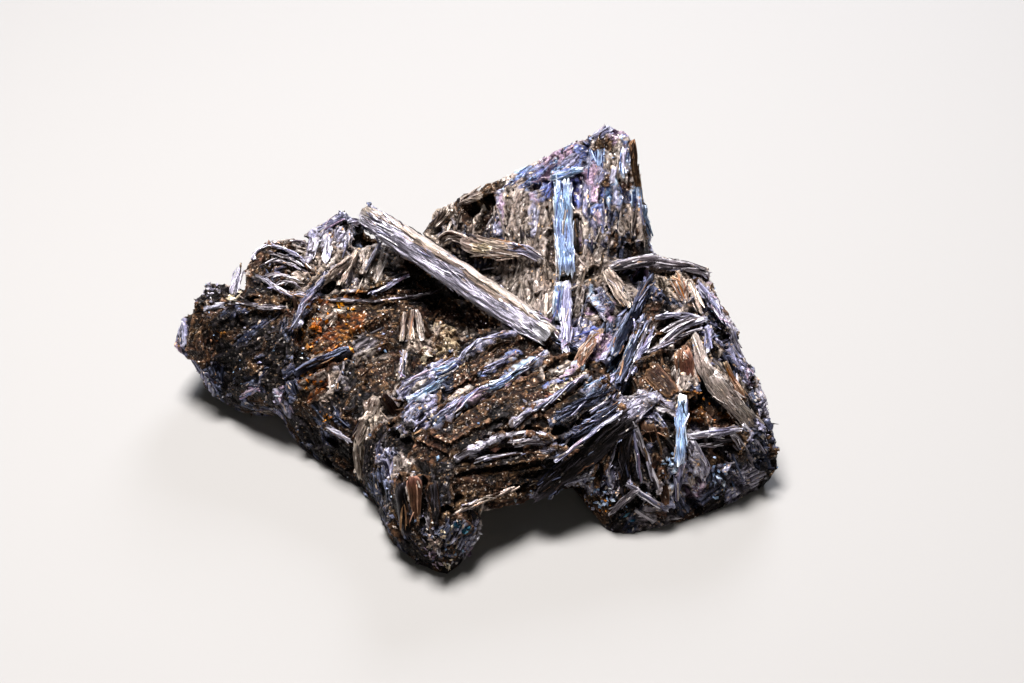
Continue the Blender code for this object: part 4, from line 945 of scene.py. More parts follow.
# Painted shade: in a cleft the tone is darkened and its edge colour taken away.
_, mass_cleft_shade = cleft_of(mass_points + 0.5 * mass_normals)
# The light of the tone: a random tone for each plate, painted shade at the foot of each page of the stack
# and painted light toward its top, painted light where the skin stands out and painted shade in its hollows.
mass_calm = 1.0 - 0.6 * plate_felted[mass_plate]
mass_light = 0.45 + mass_calm * (0.6 * (plate_tones[mass_plate] - 0.5) + 0.5 * (mass_page - 0.5))
mass_light += np.clip(mass_ridge / 0.1, -0.7, 0.3)
mass_light *= 1.0 - 0.8 * mass_cleft_shade
mass_edge_wear_and_highlight *= 1.0 - mass_cleft_shade
_, mass_rib, rib_finish = rib_of(mass_points)
rib_drawn = MIX_TABLE[rib_finish, (plate_tones[mass_plate] * 37.0).astype(int) % MIX_SIZE]
on_rib = mass_rib > 0.35 + 0.3 * noise(mass_grain * (0.6, 2.2, 2.2), 16)
drawn_finish = np.where(on_rib, rib_drawn, plate_finish[mass_plate])
# Along a rib the tone turns to the rib's finish and is raised a little in light and toward the edge colour:
# a painted highlight on its crest.
mass_tone = tone_of(drawn_finish, mass_light + 0.12 * on_rib, 0.7 * mass_edge_wear_and_highlight + 0.05 * on_rib)
set_attributes(mass_mesh, mass_tone, mass_grain, FELTED[drawn_finish])
print("of the mass,", round(100 * float(np.mean(mass_cleft_shade > 0.5))), "% is cleft and",
      round(100 * float(np.mean(on_rib))), "% rib")


# %% [markdown]
# ## The covellite finish
#
# Covellite is a soft, submetallic sulphide. A fresh plate is indigo and mirror-like, a weathered one
# is brown-grey with dust in its grooves, and its edges are worn bright. So the shader is a metal with
# a dark colour, whose grooves carry a rough, dull dust. The fibres are about 0.2 mm wide, too fine to
# be made as a mesh, so they are a bump: a noise stretched along each blade's own coordinates. The same
# noise darkens the colour in the bump's hollows and lightens it on its crests, a painted shade and
# painted light, and a few small grains of the colour are painted bright as glints, a painted highlight.

# %% Weathered and bladed covellite
GROOVE_DUST = "#75655c"
# The colours of the painted glints: a few grains of the base colour are painted these as highlights.
PAINTED_COLD_GLINT = "#f4efe9"
PAINTED_WARM_GLINT = "#c99a62"
BUMP_HEIGHT = 0.16


def add_node(tree, kind, inputs=None, **settings):
    """A shader node with its settings, and each input linked to a socket or set to a value."""
    made = tree.nodes.new("ShaderNode" + kind)
    for name, value in settings.items():
        setattr(made, name, value)
    for name, value in (inputs or {}).items():
        if isinstance(value, bpy.types.NodeSocket):
            tree.links.new(value, made.inputs[name])
        else:
            made.inputs[name].default_value = value
    return made


def covellite(name, gloss, dust, metal, painted_sparkle, fine, stretch, crossing):
    """Bladed covellite: its roughness, how dusty its grooves are, how metallic it is, the share of
    its grains that are painted bright as glints, how many fibres there are in a mm, how many times
    longer than wide they are, and the angle in radians at which some cross the others."""
    material = bpy.data.materials.new(name)
    material.use_nodes = True
    tree = material.node_tree

    def made(kind, inputs=None, output=0, **settings):
        """What a new node gives: its first output, or the one that is named."""
        return add_node(tree, kind, inputs, **settings).outputs[output]

    def matted(bladed_at, scale):
        """The blades' own coordinates, giving way to even ones where the surface is felted."""
        even = made("Mapping", {"Vector": place, "Scale": (scale / MM,) * 3})
        return made("Mix", {0: felt_share, 4: bladed_at, 5: even}, 1, data_type="VECTOR")

    # Where the fibres, the crossing fibres, the grains and the specks are
    tone = made("Attribute", output="Color", attribute_name="tone")
    grain = made("Attribute", output="Vector", attribute_name="grain")
    felt_share = made("Attribute", output="Fac", attribute_name="felt")
    place = made("TexCoord", output="Object")
    fibre_at = made("Mapping", {"Vector": grain, "Scale": (fine / stretch, fine, fine)})
    crossed = {"Rotation": (0.0, 0.0, crossing), "Scale": (1.6 * fine / stretch, 1.2 * fine, 1.2 * fine)}
    felt_at = matted(made("Mapping", {"Vector": grain, **crossed}), 0.45 * fine)
    cell_at = matted(made("Mapping", {"Vector": grain, "Scale": (2.2, 4.8, 4.8)}), 6.4)
    speck_at = made("Mapping", {"Vector": place, "Scale": (1 / MM,) * 3})

    # The patterns themselves
    fibre_at = matted(fibre_at, 0.85 * fine)
    fibre = made("TexNoise", {"Vector": fibre_at, "Scale": 1.0, "Detail": 5.0, "Roughness": 0.66})
    felt = made("TexNoise", {"Vector": felt_at, "Scale": 1.0, "Detail": 3.0, "Roughness": 0.7})
    cell = made("TexVoronoi", {"Vector": cell_at, "Scale": 1.0}, "Color")
    cell_parts = add_node(tree, "SeparateColor", {"Color": cell}).outputs
    speck = made("TexNoise", {"Vector": speck_at, "Scale": 2.6, "Detail": 3.0, "Roughness": 0.7})
    patch = made("TexNoise", {"Vector": speck_at, "Scale": 0.35, "Detail": 2.0})
    woven = made("Math", {0: fibre, 1: felt}, operation="MULTIPLY")

    # The body's colour: its fibre grain, darker in the bump's hollows and lighter on its crests as painted
    # shade and light, tarnished in patches and dusted in specks
    shade = made("MapRange", {
        "Value": woven, "From Min": 0.14, "From Max": 0.40, "To Min": 0.2, "To Max": 2.0,
    })
    shaded = made("Mix", {0: 1.0, 6: tone, 7: shade}, 2, data_type="RGBA", blend_type="MULTIPLY")
    hue = made("MapRange", {
        "Value": patch, "From Min": 0.3, "From Max": 0.7, "To Min": 0.485, "To Max": 0.515,
    })
    tarnished = made("HueSaturation", {"Hue": hue, "Saturation": 1.1, "Color": shaded})
    dusty = made("MapRange", {
        "Value": speck, "From Min": 0.56, "From Max": 0.66, "To Min": 0.0, "To Max": dust,
    })
    dust_colour = (*hex_colour(GROOVE_DUST), 1.0)
    dusted = made("Mix", {0: dusty, 6: tarnished, 7: dust_colour}, 2, data_type="RGBA")

    # Painted highlights: a few grains are painted bright as glints, cold or warm, and hardly any where
    # the body is dark
    painted_glint = made("MapRange", {
        "Value": cell_parts["Red"], "From Min": 1.0 - painted_sparkle, "From Max": 1.0 - 0.6 * painted_sparkle,
    })
    brightness = made("RGBToBW", {"Color": tone})
    welcome = made("MapRange", {
        "Value": brightness, "From Min": 0.0, "From Max": 0.05, "To Min": 0.12, "To Max": 1.0,
    })
    painted_glint = made("Math", {0: painted_glint, 1: welcome}, operation="MULTIPLY")
    cold, warm = ((*hex_colour(code), 1.0) for code in (PAINTED_COLD_GLINT, PAINTED_WARM_GLINT))
    warmth = made("Mix", {0: cell_parts["Green"], 6: cold, 7: warm}, 2, data_type="RGBA")
    lively = made("Mix", {0: 0.18, 6: warmth, 7: dusted}, 2, data_type="RGBA")
    painted_glinting = made("Mix", {0: painted_glint, 6: dusted, 7: lively}, 2, data_type="RGBA")

    # How rough and how metallic it is, and its fine relief
    dull = made("MapRange", {
        "Value": speck, "From Min": 0.3, "From Max": 0.7, "To Min": gloss + 0.16, "To Max": gloss - 0.1,
    })
    metallic = made("MapRange", {
        "Value": dusty, "From Min": 0.0, "From Max": 1.0, "To Min": metal, "To Max": 0.1,
    })
    height = made("Math", {0: speck, 1: 0.3, 2: woven}, operation="MULTIPLY_ADD")
    bump = made("Bump", {"Height": height, "Distance": BUMP_HEIGHT * MM, "Strength": 0.9})
    shader = tree.nodes["Principled BSDF"]
    shader.inputs["Specular IOR Level"].default_value = 0.1
    for socket, value in (
        ("Base Color", painted_glinting), ("Roughness", dull), ("Metallic", metallic), ("Normal", bump)
    ):
        tree.links.new(value, shader.inputs[socket])
    print(name, "is made of", len(tree.nodes), "nodes")
    return material


mass_finish = covellite(
    "weathered covellite", gloss=0.46, dust=0.10, metal=0.45, painted_sparkle=0.08,
    fine=4.8, stretch=3.2, crossing=0.9,
)
blade_finish = covellite(
    "bladed covellite", gloss=0.36, dust=0.10, metal=0.6, painted_sparkle=0.012,
    fine=6.0, stretch=9.0, crossing=0.10,
)

# %% The mass as a piece
def finished(name, mesh, material):
    """A finished piece: its object at the origin, on the root body, in the covellite slot."""
    obj = bpy.data.objects.new(name, mesh)
    bpy.context.scene.collection.objects.link(obj)
    mesh.materials.clear()
    mesh.materials.append(material)
    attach(obj, "root")
    return obj


crystal_mass = finished("crystal_mass", mass_mesh, mass_finish)
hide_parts(NODE)
print("the mass is", np.ptp(mass_points, axis=0).round(1), "mm")

# %% [markdown]
# ## Blades
#
# A blade is a closed outline carried along a path. The outline is a flat bar with rounded edges; long
# grooves run down it, its edges waver, and both ends are broken unevenly. A curve with a bevel would
# give the bar, but not the grooves or the broken ends. Thousands of small splinters use the same
# formula with fewer points, so one function makes them all as whole arrays.

# %% The blade formula
BAR_POWER = 0.55
AROUND_SCALE = 9.0


def outline(sides):
    """A closed superellipse of width 2 and thickness 2: cos and sin to a power, signs kept."""
    turn = 2.0 * math.pi * (np.arange(sides) + 0.5) / sides
    circle = np.stack([np.cos(turn), np.sin(turn)], axis=1)
    return np.sign(circle) * np.abs(circle) ** BAR_POWER


def bladed(paths, facing, widths, thicknesses, tapers, sides, groove, ragged, seed, wave=0.13):
    """Points of many blades at once, shape (blades, rings, sides, 3), with their grain and rim.

    Each ring is the outline, scaled to half the width and thickness, and set square to the path.
    Grooves and edge waves are noise that changes slowly along the blade. The ends are shifted along
    the path by noise times the fifth power of the distance from mid-length, so only they are ragged.
    """
    count, rings = paths.shape[:2]
    share = np.linspace(0.0, 1.0, rings)[None, :, None]
    along = unit(np.gradient(paths, axis=1))
    wide = unit(np.cross(along, facing[:, None, :]))
    thin = np.cross(wide, along)
    shape = outline(sides)
    lengths = np.linalg.norm(np.diff(paths, axis=1), axis=2).sum(axis=1)
    run = share * lengths[:, None, None] + np.zeros((count, rings, sides))
    number = np.arange(count)[:, None, None] * 7.31 + seed
    turn = 2.0 * math.pi * np.arange(sides)[None, None, :] / sides
    circle = sides / AROUND_SCALE * np.stack([np.cos(turn), np.sin(turn)], axis=-1)
    around = circle + number[..., None] * (1.0, 0.0) + np.zeros((count, rings, sides, 2))
    long_noise = noise(np.concatenate([around, run[..., None] * 0.30], axis=-1), seed)
    short_noise = noise(np.concatenate([around * 2.1, run[..., None] * 0.9], axis=-1), seed + 1)
    fine_noise = noise(np.concatenate([around * 4.7, run[..., None] * 0.5], axis=-1), seed + 4)
    grooves = groove * (long_noise + 0.5 * short_noise + 0.4 * fine_noise)
    side_of = np.sign(shape[:, 0])[None, None, :] * 3.0
    edge_wave = noise(np.stack([run * 0.7, side_of + 0 * run, number + 0 * run], axis=-1), seed + 2)
    taper = 1.0 + (tapers[:, None, None] - 1.0) * share
    closing = 1.0 - 0.35 * np.abs(2.0 * share - 1.0) ** 7
    across = shape[None, None, :, 0] * widths[:, None, None] / 2 * taper * (1.0 + wave * edge_wave)
    across = across * (1.0 - 0.3 * np.abs(2.0 * share - 1.0) ** 5)
    through = shape[None, None, :, 1] * thicknesses[:, None, None] / 2 * closing
    through = through + grooves * np.sign(shape[:, 1]) * (1.0 - np.abs(shape[:, 0]) ** 6)
    end_at = np.concatenate([around * 1.3, 0 * run[..., None] + 5.0], axis=-1)
    end_noise = noise(end_at, seed + 3)
    slip = ragged * widths[:, None, None] * end_noise * (2.0 * share - 1.0) ** 5
    points = (
        paths[:, :, None, :]
        + across[..., None] * wide[:, :, None, :]
        + through[..., None] * thin[:, :, None, :]
        + slip[..., None] * along[:, :, None, :]
    )
    offset = 31.0 * np.modf(number * 0.618)[0]
    grain = np.stack([run + offset, across + offset, through], axis=-1)
    rim = np.abs(shape[None, None, :, 0]) ** 8 + np.abs(2.0 * share - 1.0) ** 14
    rim = np.clip(rim + np.zeros((count, rings, sides)), 0.0, 1.0)
    return points, grain, rim, grooves


print("a blade of 16 sides is this wide from its middle at each:", outline(16)[:, 0].round(2))

# %% Blades as one mesh
def blade_arrays(points, tone, grain):
    """The vertices, face corners, face sizes and attributes of closed blades.

    There are quads between rings, and one cap at each end.
    """
    count, rings, sides = points.shape[:3]
    ring, side = np.meshgrid(np.arange(rings - 1), np.arange(sides), indexing="ij")
    after = (side + 1) % sides
    quad = [ring * sides + side, ring * sides + after, (ring + 1) * sides + after, (ring + 1) * sides + side]
    start = np.arange(count)[:, None] * rings * sides
    quads = (np.stack(quad, axis=-1).reshape(1, -1) + start).ravel()
    near = (np.arange(sides)[::-1][None, :] + start).ravel()
    far = (np.arange(sides)[None, :] + (rings - 1) * sides + start).ravel()
    sizes = np.concatenate([np.full(len(quads) // 4, 4), np.full(2 * count, sides)])
    flat = points.reshape(-1, 3).copy()
    flat[:, 2] = np.maximum(flat[:, 2], 0.0)
    corners = np.concatenate([quads, near, far])
    return flat, corners, sizes, tone.reshape(-1, 3), grain.reshape(-1, 3)


def blade_mesh(name, groups, smooth):
    """One mesh of one or more groups of blades, none of them felted."""
    firsts = np.cumsum([0] + [len(group[0]) for group in groups[:-1]])
    corners = np.concatenate([group[1] + first for group, first in zip(groups, firsts)])
    points, sizes, tone, grain = (np.concatenate([group[i] for group in groups]) for i in (0, 2, 3, 4))
    mesh = bpy.data.meshes.new(name)
    mesh.vertices.add(len(points))
    mesh.vertices.foreach_set("co", (points * MM).ravel())
    mesh.loops.add(len(corners))
    mesh.loops.foreach_set("vertex_index", corners.astype(np.int32))
    mesh.polygons.add(len(sizes))
    starts = np.concatenate([[0], np.cumsum(sizes)[:-1]])
    mesh.polygons.foreach_set("loop_start", starts.astype(np.int32))
    mesh.update(calc_edges=True)
    mesh.polygons.foreach_set("use_smooth", np.full(len(sizes), smooth))
    set_attributes(mesh, tone, grain, np.zeros(len(points)))
    mesh.validate()
    return mesh


# %% [markdown]
# ## The large blades
#
# These are the ones the eye picks out, so each is placed one by one. A row gives the finish, the
# width, the thickness, the roll about its length (at 0 the broad face looks at the eye), the taper and
# the places along it, each as across, up and lift. Covellite splits along its length as easily as mica
# does, so thin strips have come loose from every blade, and some blades are nothing but strips.

# %% Strips that have split from a blade
STRIP_RINGS = 8
STRIP_LENGTHS = (0.8, 3.6)
STRIP_SLEW = 0.34


def strips_of(path, facing, width, thickness, per_area):
    """Thin strips split from a blade: each follows part of its path, beside its middle line.

    Their number grows with the blade's area in square mm. They lie highest over the middle line, and
    each is slewed and raised a little from its neighbours.
    """
    along = unit(np.gradient(path, axis=0))
    wide = unit(np.cross(along, facing))
    thin = np.cross(wide, along)
    rings = len(path)
    length = np.linalg.norm(np.diff(path, axis=0), axis=1).sum()
    made = []
    for _ in range(int(3 + per_area * length * width)):
        share = min(0.98, rng.uniform(*STRIP_LENGTHS) / length)
        first = rng.uniform(0.0, 1.0 - share)
        place = np.linspace(first, first + share, STRIP_RINGS) * (rings - 1)
        whole = np.minimum(place.astype(int), rings - 2)
        part = (place - whole)[:, None]
        aside = rng.uniform(-0.5, 0.5)
        slew = np.linspace(-0.5, 0.5, STRIP_RINGS)[:, None] * rng.normal(0.0, STRIP_SLEW)
        bow = (1.0 - np.linspace(-1.0, 1.0, STRIP_RINGS)[:, None] ** 2) * rng.normal(0.0, 0.06)
        lift = (0.46 - 0.9 * aside**2) * thickness + rng.normal(0.0, 0.06)
        line = path + aside * width * wide + lift * thin
        line = line[whole] * (1.0 - part) + line[whole + 1] * part
        made.append(line + slew * wide[whole] + bow * thin[whole])
    return made


# %% A piece made of large blades
BLADE_RINGS = 40
BLADE_SIDES = 16
STRIP_SIDES = 5
STRIP_WIDTHS = (0.09, 0.28)
STRIPS_ON_BODY = 2.6
STRIPS_IN_BUNDLE = 9.0
PATH_SHAKE = 0.12


def blade_tones(finishes, grain, rim, hollows, seed, upper):
    """Tones of listed blades: grooves painted dark as shade, crests painted light, and edges lighter,
    worn in patches and partly a painted highlight.

    The upper half of a blade's outline may have weathered to another finish, with an uneven border.
    """
    wear = 0.5 + 0.5 * noise(grain * (0.5, 1.5, 1.5), seed + 5)
    light = 0.5 + 0.22 * hollows + 0.3 * noise(grain * (0.2, 0.8, 0.8), seed + 6)
    number = np.array(finishes)[:, None, None] + np.zeros(rim.shape, int)
    if upper:
        side = outline(rim.shape[2])[:, 0] + 0.5 * noise(grain * (0.3, 1.2, 1.2), seed + 7)
        number = np.where(side < -0.5, FINISH_NAMES.index(upper), number)
    return tone_of(number, light, rim * (0.2 + 0.8 * wear))


def large_blades(name, rows, seed, rings=BLADE_RINGS, sides=BLADE_SIDES, groove=0.09, ragged=0.5,
                 smooth=False, bundled=False, wave=0.13, upper=None, split=STRIPS_ON_BODY):
    """A piece made of listed blades, each with the thin strips that have split from it.

    A bundled blade has split right through, so it is all strips, with no body. On the others, split
    strips lie on each square mm. How deep the grooves are, how uneven the ends and how far the edges
    waver are groove, ragged and wave, and upper names the finish of a weathered half.
    """
    per_area = STRIPS_IN_BUNDLE if bundled else split
    finishes = [FINISH_NAMES.index(row[0]) for row in rows]
    paths, facing = [], []
    strips, strip_facing, strip_sizes, strip_finishes = [], [], [], []
    for own, (_, width, thickness, roll, _, *knots) in zip(finishes, rows):
        path = sighted_path(knots, 3, rings)
        path = path + PATH_SHAKE * np.stack([noise(path * 0.8, seed + i) for i in range(3)], axis=1)
        along = unit(path[-1] - path[0])
        toward = unit(EYE - path[rings // 2])
        toward = unit(toward - (toward @ along) * along)
        toward = turned_about(toward, along, np.array(math.radians(roll)))
        paths.append(path)
        facing.append(toward)
        for strip in strips_of(path, toward, width, thickness, per_area):
            strips.append(strip)
            strip_facing.append(toward)
            slim = rng.uniform(*STRIP_WIDTHS)
            strip_sizes.append((slim, 0.5 * slim + 0.08, rng.uniform(0.3, 1.1)))
            strip_finishes.append(own if rng.random() < 0.5 else rng.choice(MIX_TABLE[own]))
    widths, thicknesses, tapers = np.array([[row[1], row[2], row[4]] for row in rows]).T
    points, grain, rim, grooves = bladed(
        np.array(paths), np.array(facing), widths, thicknesses, tapers, sides, groove, ragged, seed, wave
    )
    tone = blade_tones(finishes, grain, rim, grooves / groove, seed, upper)
    body = blade_arrays(points, tone, grain)
    points, grain, rim, grooves = bladed(
        np.array(strips), np.array(strip_facing), *np.array(strip_sizes).T, STRIP_SIDES, 0.03, 1.0, seed + 9
    )
    # The strips: a random tone, painted a little lighter along their edges as a highlight, and a few worn
    # toward the edge colour at random.
    tone = tone_of(
        np.array(strip_finishes)[:, None, None] + np.zeros(rim.shape, int),
        rng.beta(1.6, 1.4, len(strips))[:, None, None] + 0.2 * rim,
        0.9 * rng.random(len(strips))[:, None, None] ** 3 + 0.0 * rim,
    )
    groups = [blade_arrays(points, tone, grain)] + ([] if bundled else [body])
    mesh = blade_mesh(name, groups, smooth)
    print(name, "has", len(rows), "blades,", len(mesh.polygons), "faces")
    return finished(name, mesh, blade_finish)


# %% The blades of the fin
FIN_BLADES = table("""
    blue 2.3 1 6 1  6.3 20.2 0.5  6.7 8.3 0.5
    blue 1 0.7 20 0.8  5.8 7.4 0.5  5.7 2.8 0.5
    lavender 1.5 0.8 10 0.8  6.8 7 0.3  6.8 -1.2 0.5
    blue 1 0.7 20 0.7  5 20.5 0.6  8.7 21.5 0.7
    khaki 1.8 0.5 30 0.8  -9 12.4 0.8  -7.5 13.1 0.9  -5.5 12.6 0.8
    khaki 2.4 0.5 4 0.8  -5.8 12.4 1  -2.8 11.7 1.1  0.4 11.4 0.9
    cream 1.2 0.4 4 0.7  -4.9 12 1.3  -2.7 11.6 1.4
    silver 1.5 0.5 24 0.6  -0.4 11.9 1.1  1.6 11.4 1.1  3.4 10.3 0.6
    lavender 1.3 1.3 0 0.9  10.4 25.4 0  12.2 26.7 0
    blue 0.8 0.6 0 0.8  13.6 25.6 0.2  13.9 20.6 0.2
    umber 0.9 0.8 0 1  15.1 25 0  15.7 19.4 0
    pale 0.8 0.6 0 0.7  16.8 14.6 0.2  17.1 12.6 0.2
    pale 0.5 0.5 0 0.7  13.9 24 0.3  14.1 21.6 0.3
    pale 0.7 0.4 10 0.7  12.9 21.8 0.3  12.5 19.8 0.3
    blue 1.2 0.7 0 0.7  16.3 17 0.2  17 12.8 0.2
    khaki 1.6 0.5 40 0.8  -9.8 14.4 0.5  -8.2 16.4 0.5
    khaki 1.4 0.4 -30 0.8  -6.4 17.6 0.5  -3.8 18.4 0.4
    dark 0.6 0.6 0 0.5  8 15.2 0.1  8.3 11.4 0.1
""")
large_blades("fin_blades", FIN_BLADES, 100)

# %% The long lath
LONG_LATH = table("""
    bark 3.4 2.6 14 1.06  -18.1 15.7 0.1  -7 8.4 0.1  4.4 0.8 0.1
""")
large_blades(
    "long_lath", LONG_LATH, 120, rings=220, sides=64, groove=0.19, ragged=0.35, smooth=True, wave=0.03,
    upper="khaki",
)

# %% The blades of the east lump
EAST_BLADES = table("""
    dark 3.4 1.3 4 0.95  3 -18.6 0.3  14.8 -9.3 0.3
    silver 0.5 0.5 30 0.7  2.8 -19.1 0.4  9 -16.7 0.5
    lavender 0.4 0.4 30 0.7  5.4 -15 0.5  13.8 -8.6 0.6
    silver 2.3 1 0 0.6  13.6 -9.8 0.3  17.8 -6.6 0.4
    ash 0.6 0.5 50 0.5  15.2 -9.8 0.4  18.5 -19 0.4
    lavender 0.5 0.5 30 0.4  15 -9.8 0.4  16.3 -17.6 0.4
    dark 1.6 0.6 10 0.4  14.4 -11 0.3  13.8 -18.8 0.2
    silver 0.4 0.4 30 0.5  13.6 -11 0.4  11.8 -16.8 0.3
    ash 0.9 0.5 20 0.4  15.6 -18.6 0.3  12.4 -21.4 0.3
    silver 0.7 0.5 40 0.5  14.3 -17.8 0.3  19.5 -21 0.3
    blue 1.4 0.8 8 0.8  21.3 -7.2 0.4  21 -15.1 0.3
    lavender 0.8 0.6 8 0.5  21.2 -14.4 0.3  20.6 -19.8 0.3
    silver 0.9 0.6 15 0.6  22.3 -11.8 0.3  28.5 -11 0.3
    ash 0.6 0.5 15 0.6  23.4 -13 0.3  28.2 -12.2 0.3
    silver 1 0.5 25 0.3  22.6 -12.4 0.4  24.6 -16.4 0.3
    ash 0.9 0.5 -15 0.3  27.6 -11.6 0.3  30.2 -15.6 0.3
    silver 0.6 0.4 0 0.4  29 -10.4 0.3  31.6 -14 0.2
    orange 0.9 0.5 4 1  21 -0.9 0.5  21.6 -2.2 0.5
    dust 1.2 0.6 12 2.3  22.7 0.8 0.3  24.2 -3.4 0.3  26.4 -6.8 0.3
    dust 2.5 0.8 12 0.25  25.2 -4.6 0.4  28.2 -8.4 0.3  31.2 -11.8 0.3
    orange 0.7 0.4 12 0.4  26.6 -2.6 0.4  29.2 -7.4 0.3
    lavender 0.6 0.6 10 0.8  22.8 8 0.2  24.8 5.4 0.2  26.4 3 0.2  27.4 1.2 0.2
    silver 0.5 0.5 10 0.8  25.4 5 0.2  27.2 1.8 0.2  28.8 -1.6 0.2
    silver 0.8 0.5 30 0.5  18.2 3.1 0.3  21 3.4 0.3  23.3 3 0.3
    ash 0.7 0.5 30 0.5  18.9 1.2 0.3  21.4 2.6 0.3  24.2 2.9 0.3
    silver 0.8 0.5 30 0.5  18.5 -0.3 0.3  21 1.6 0.3  24.3 2.7 0.3
    ash 0.6 0.5 30 0.5  17 -1.4 0.3  20.4 0.2 0.3  23.6 1.6 0.3
    lavender 0.8 0.6 0 0.7  24.7 1.7 0.4  24.5 -1.2 0.4
    orange 1.6 0.6 12 0.4  20.4 8.2 0.3  22.2 4.6 0.3
    khaki 1.2 0.6 -12 0.4  22 7.6 0.3  23.6 3.8 0.3
    slate 1.5 0.9 22 0.5  12.6 -1.6 0.3  17.4 8.2 0.3
    lavender 0.4 0.5 22 0.5  11.6 -2.2 0.4  16.2 7.4 0.4
    slate 1.1 0.8 -22 0.5  13.4 -4.8 0.3  16.6 3.2 0.3
    silver 0.4 0.5 -22 0.5  14.2 -5 0.4  17.4 3 0.4
    lavender 0.7 0.6 -10 0.5  15 -4 0.3  17.8 1.6 0.3
    khaki 1.6 0.6 10 0.4  12 8.6 0.3  14.6 4.6 0.3
    orange 1.6 0.6 20 0.6  10.8 1.4 0.3  8.2 -3 0.3
    silver 0.5 0.5 20 0.6  10.2 5.8 0.4  11.6 2.6 0.4
    ash 1 0.7 10 1.6  12.4 9.3 0.3  15.4 9.9 0.3  18.4 10.1 0.2
    ash 1.5 0.7 -12 0.6  17.6 10 0.2  21 9.4 0.3  24.5 8.5 0.2
    silver 0.4 0.4 20 0.8  13 9.9 0.3  17.6 10.8 0.2
""")
large_blades("east_blades", EAST_BLADES, 140)

# %% The split edges along the middle
CENTRE_RIBS = table("""
    lavender 1.5 0.3 20 0.9  -13.8 -6.6 0.2  -12 -5.2 0.2  -10 -4 0.2
    lavender 0.9 0.4 35 0.9  -10.6 -4.4 0.2  -8.4 -3 0.2  -6.5 -2.5 0.2
    lavender 0.6 0.4 35 0.9  -7 -2.6 0.2  -5 -0.6 0.2  -3 0.5 0.2  0.2 1.1 0.2
    blue 1.5 0.3 20 0.7  -9.4 -4.3 0.3  -6.9 -2.9 0.3
    blue 1.2 0.4 20 0.5  -12.4 -7.4 0.2  -9 -5.2 0.3
    lavender 1 0.3 30 0.7  -13.8 -11.2 0.2  -11.8 -8.6 0.2
    lavender 1.7 0.3 25 0.6  -10 -10.6 0.2  -7.8 -8.8 0.2  -6 -7.3 0.2
    rose 0.8 0.4 30 0.9  -7.2 -8.6 0.2  -4.8 -6.6 0.2  -2.6 -5.8 0.2
    blue 0.9 0.4 30 0.8  -4 -6.2 0.2  -1 -4.9 0.2  2.2 -2.7 0.2
    lavender 0.6 0.4 30 0.8  0.6 -4 0.2  4.3 -1.3 0.2
    silver 0.7 0.4 40 0.9  0 -10.4 0.2  1.3 -9.3 0.3  2.5 -8.5 0.3
    lavender 0.5 0.4 40 0.9  2.2 -8.8 0.3  5.2 -6.9 0.3  9 -4.2 0.3
    silver 0.8 0.4 45 0.8  -7 -14.6 0.3  -5.4 -13.6 0.4  -4 -13.2 0.4
    silver 0.6 0.4 45 0.8  -4.4 -12.9 0.4  -2.6 -12.2 0.4  -1.4 -12 0.3
    silver 0.5 0.4 45 0.8  -2.4 -12 0.3  1.5 -11.4 0.4  4.6 -11.5 0.3
    ash 0.8 0.4 45 0.8  -0.6 -12.6 0.3  2.6 -12.4 0.4  5.4 -12.9 0.3
    silver 0.4 0.4 45 0.8  -4.8 -14.9 0.3  -1.8 -14.2 0.3  1.6 -13.8 0.3
    slate 1.6 0.4 30 0.8  5.4 -9.8 0.2  9 -7.9 0.2  12.4 -5.6 0.2
    slate 1.5 0.4 30 0.8  5.4 -13 0.2  9.4 -10.6 0.2  13.4 -8 0.3
    silver 0.4 0.4 30 0.8  9.6 -8.8 0.3  12.8 -6.7 0.3
    blue 0.6 0.4 30 0.8  8.6 -6 0.3  12.6 -4.2 0.3
    lavender 0.7 0.4 30 0.8  -3.8 -3.8 0.2  0.6 -1.6 0.2
    slate 0.8 0.4 30 0.8  1.4 1.2 0.2  5.6 0 0.2  8.8 -1.2 0.2
    khaki 0.5 0.3 40 0.8  -7.6 -21.6 0.3  -3.6 -19.8 0.3  1 -17.9 0.3
    silver 0.3 0.3 40 0.8  -6.4 -20.6 0.3  -2.6 -19.5 0.3
""")
large_blades("centre_ribs", CENTRE_RIBS, 160, bundled=True)

# %% The blades of the west lump and the tip
WEST_BLADES = table("""
    silver 1.2 0.6 10 0.2  -34.9 6 0.3  -34.1 9.2 0.2
    pale 0.9 0.4 0 0.8  -25 10.6 0.5  -24.6 12.7 0.5
    pale 1.1 0.4 8 0.8  -23.3 10.2 0.5  -22.8 13.2 0.5
    pale 1 0.8 0 0.8  -22.4 15 0.1  -20.4 16.1 0.1
    khaki 1.2 0.6 20 0.8  -24.2 7 0.4  -20.2 10.3 0.5
    khaki 1.2 0.6 -20 0.7  -21.5 7.2 0.3  -19.6 11.2 0.4
    slate 1.2 0.7 35 0.7  -26.9 -3.8 0.3  -23.6 -2.2 0.4  -20.6 -0.9 0.4
    khaki 1.7 0.6 18 0.8  -16.9 -7.2 0.3  -19.3 -12.4 0.4
    khaki 1.6 0.7 -15 0.8  -19.2 -12.6 0.3  -18.7 -17 0.3
    slate 1 0.7 -25 0.6  -15.7 -17.4 0.3  -13.2 -24.4 0.3
    dark 1.1 0.7 20 0.6  -9.8 -17.6 0.3  -9.6 -22.9 0.3
    ash 0.7 0.5 -10 0.6  -10.6 -22 0.2  -9 -26.6 0.2
    dark 1.7 1.2 -20 0.9  -13.8 -18.2 0.3  -13.1 -23.8 0.3
    khaki 0.7 0.5 40 0.8  -13.8 0.2 0.3  -13.4 3.6 0.4
    khaki 0.6 0.5 -20 0.8  -12.6 0.2 0.3  -12.4 3.9 0.4
    dust 0.8 0.5 20 0.8  -11.2 0.2 0.3  -11.9 3.8 0.4
""")
large_blades("west_blades", WEST_BLADES, 180)

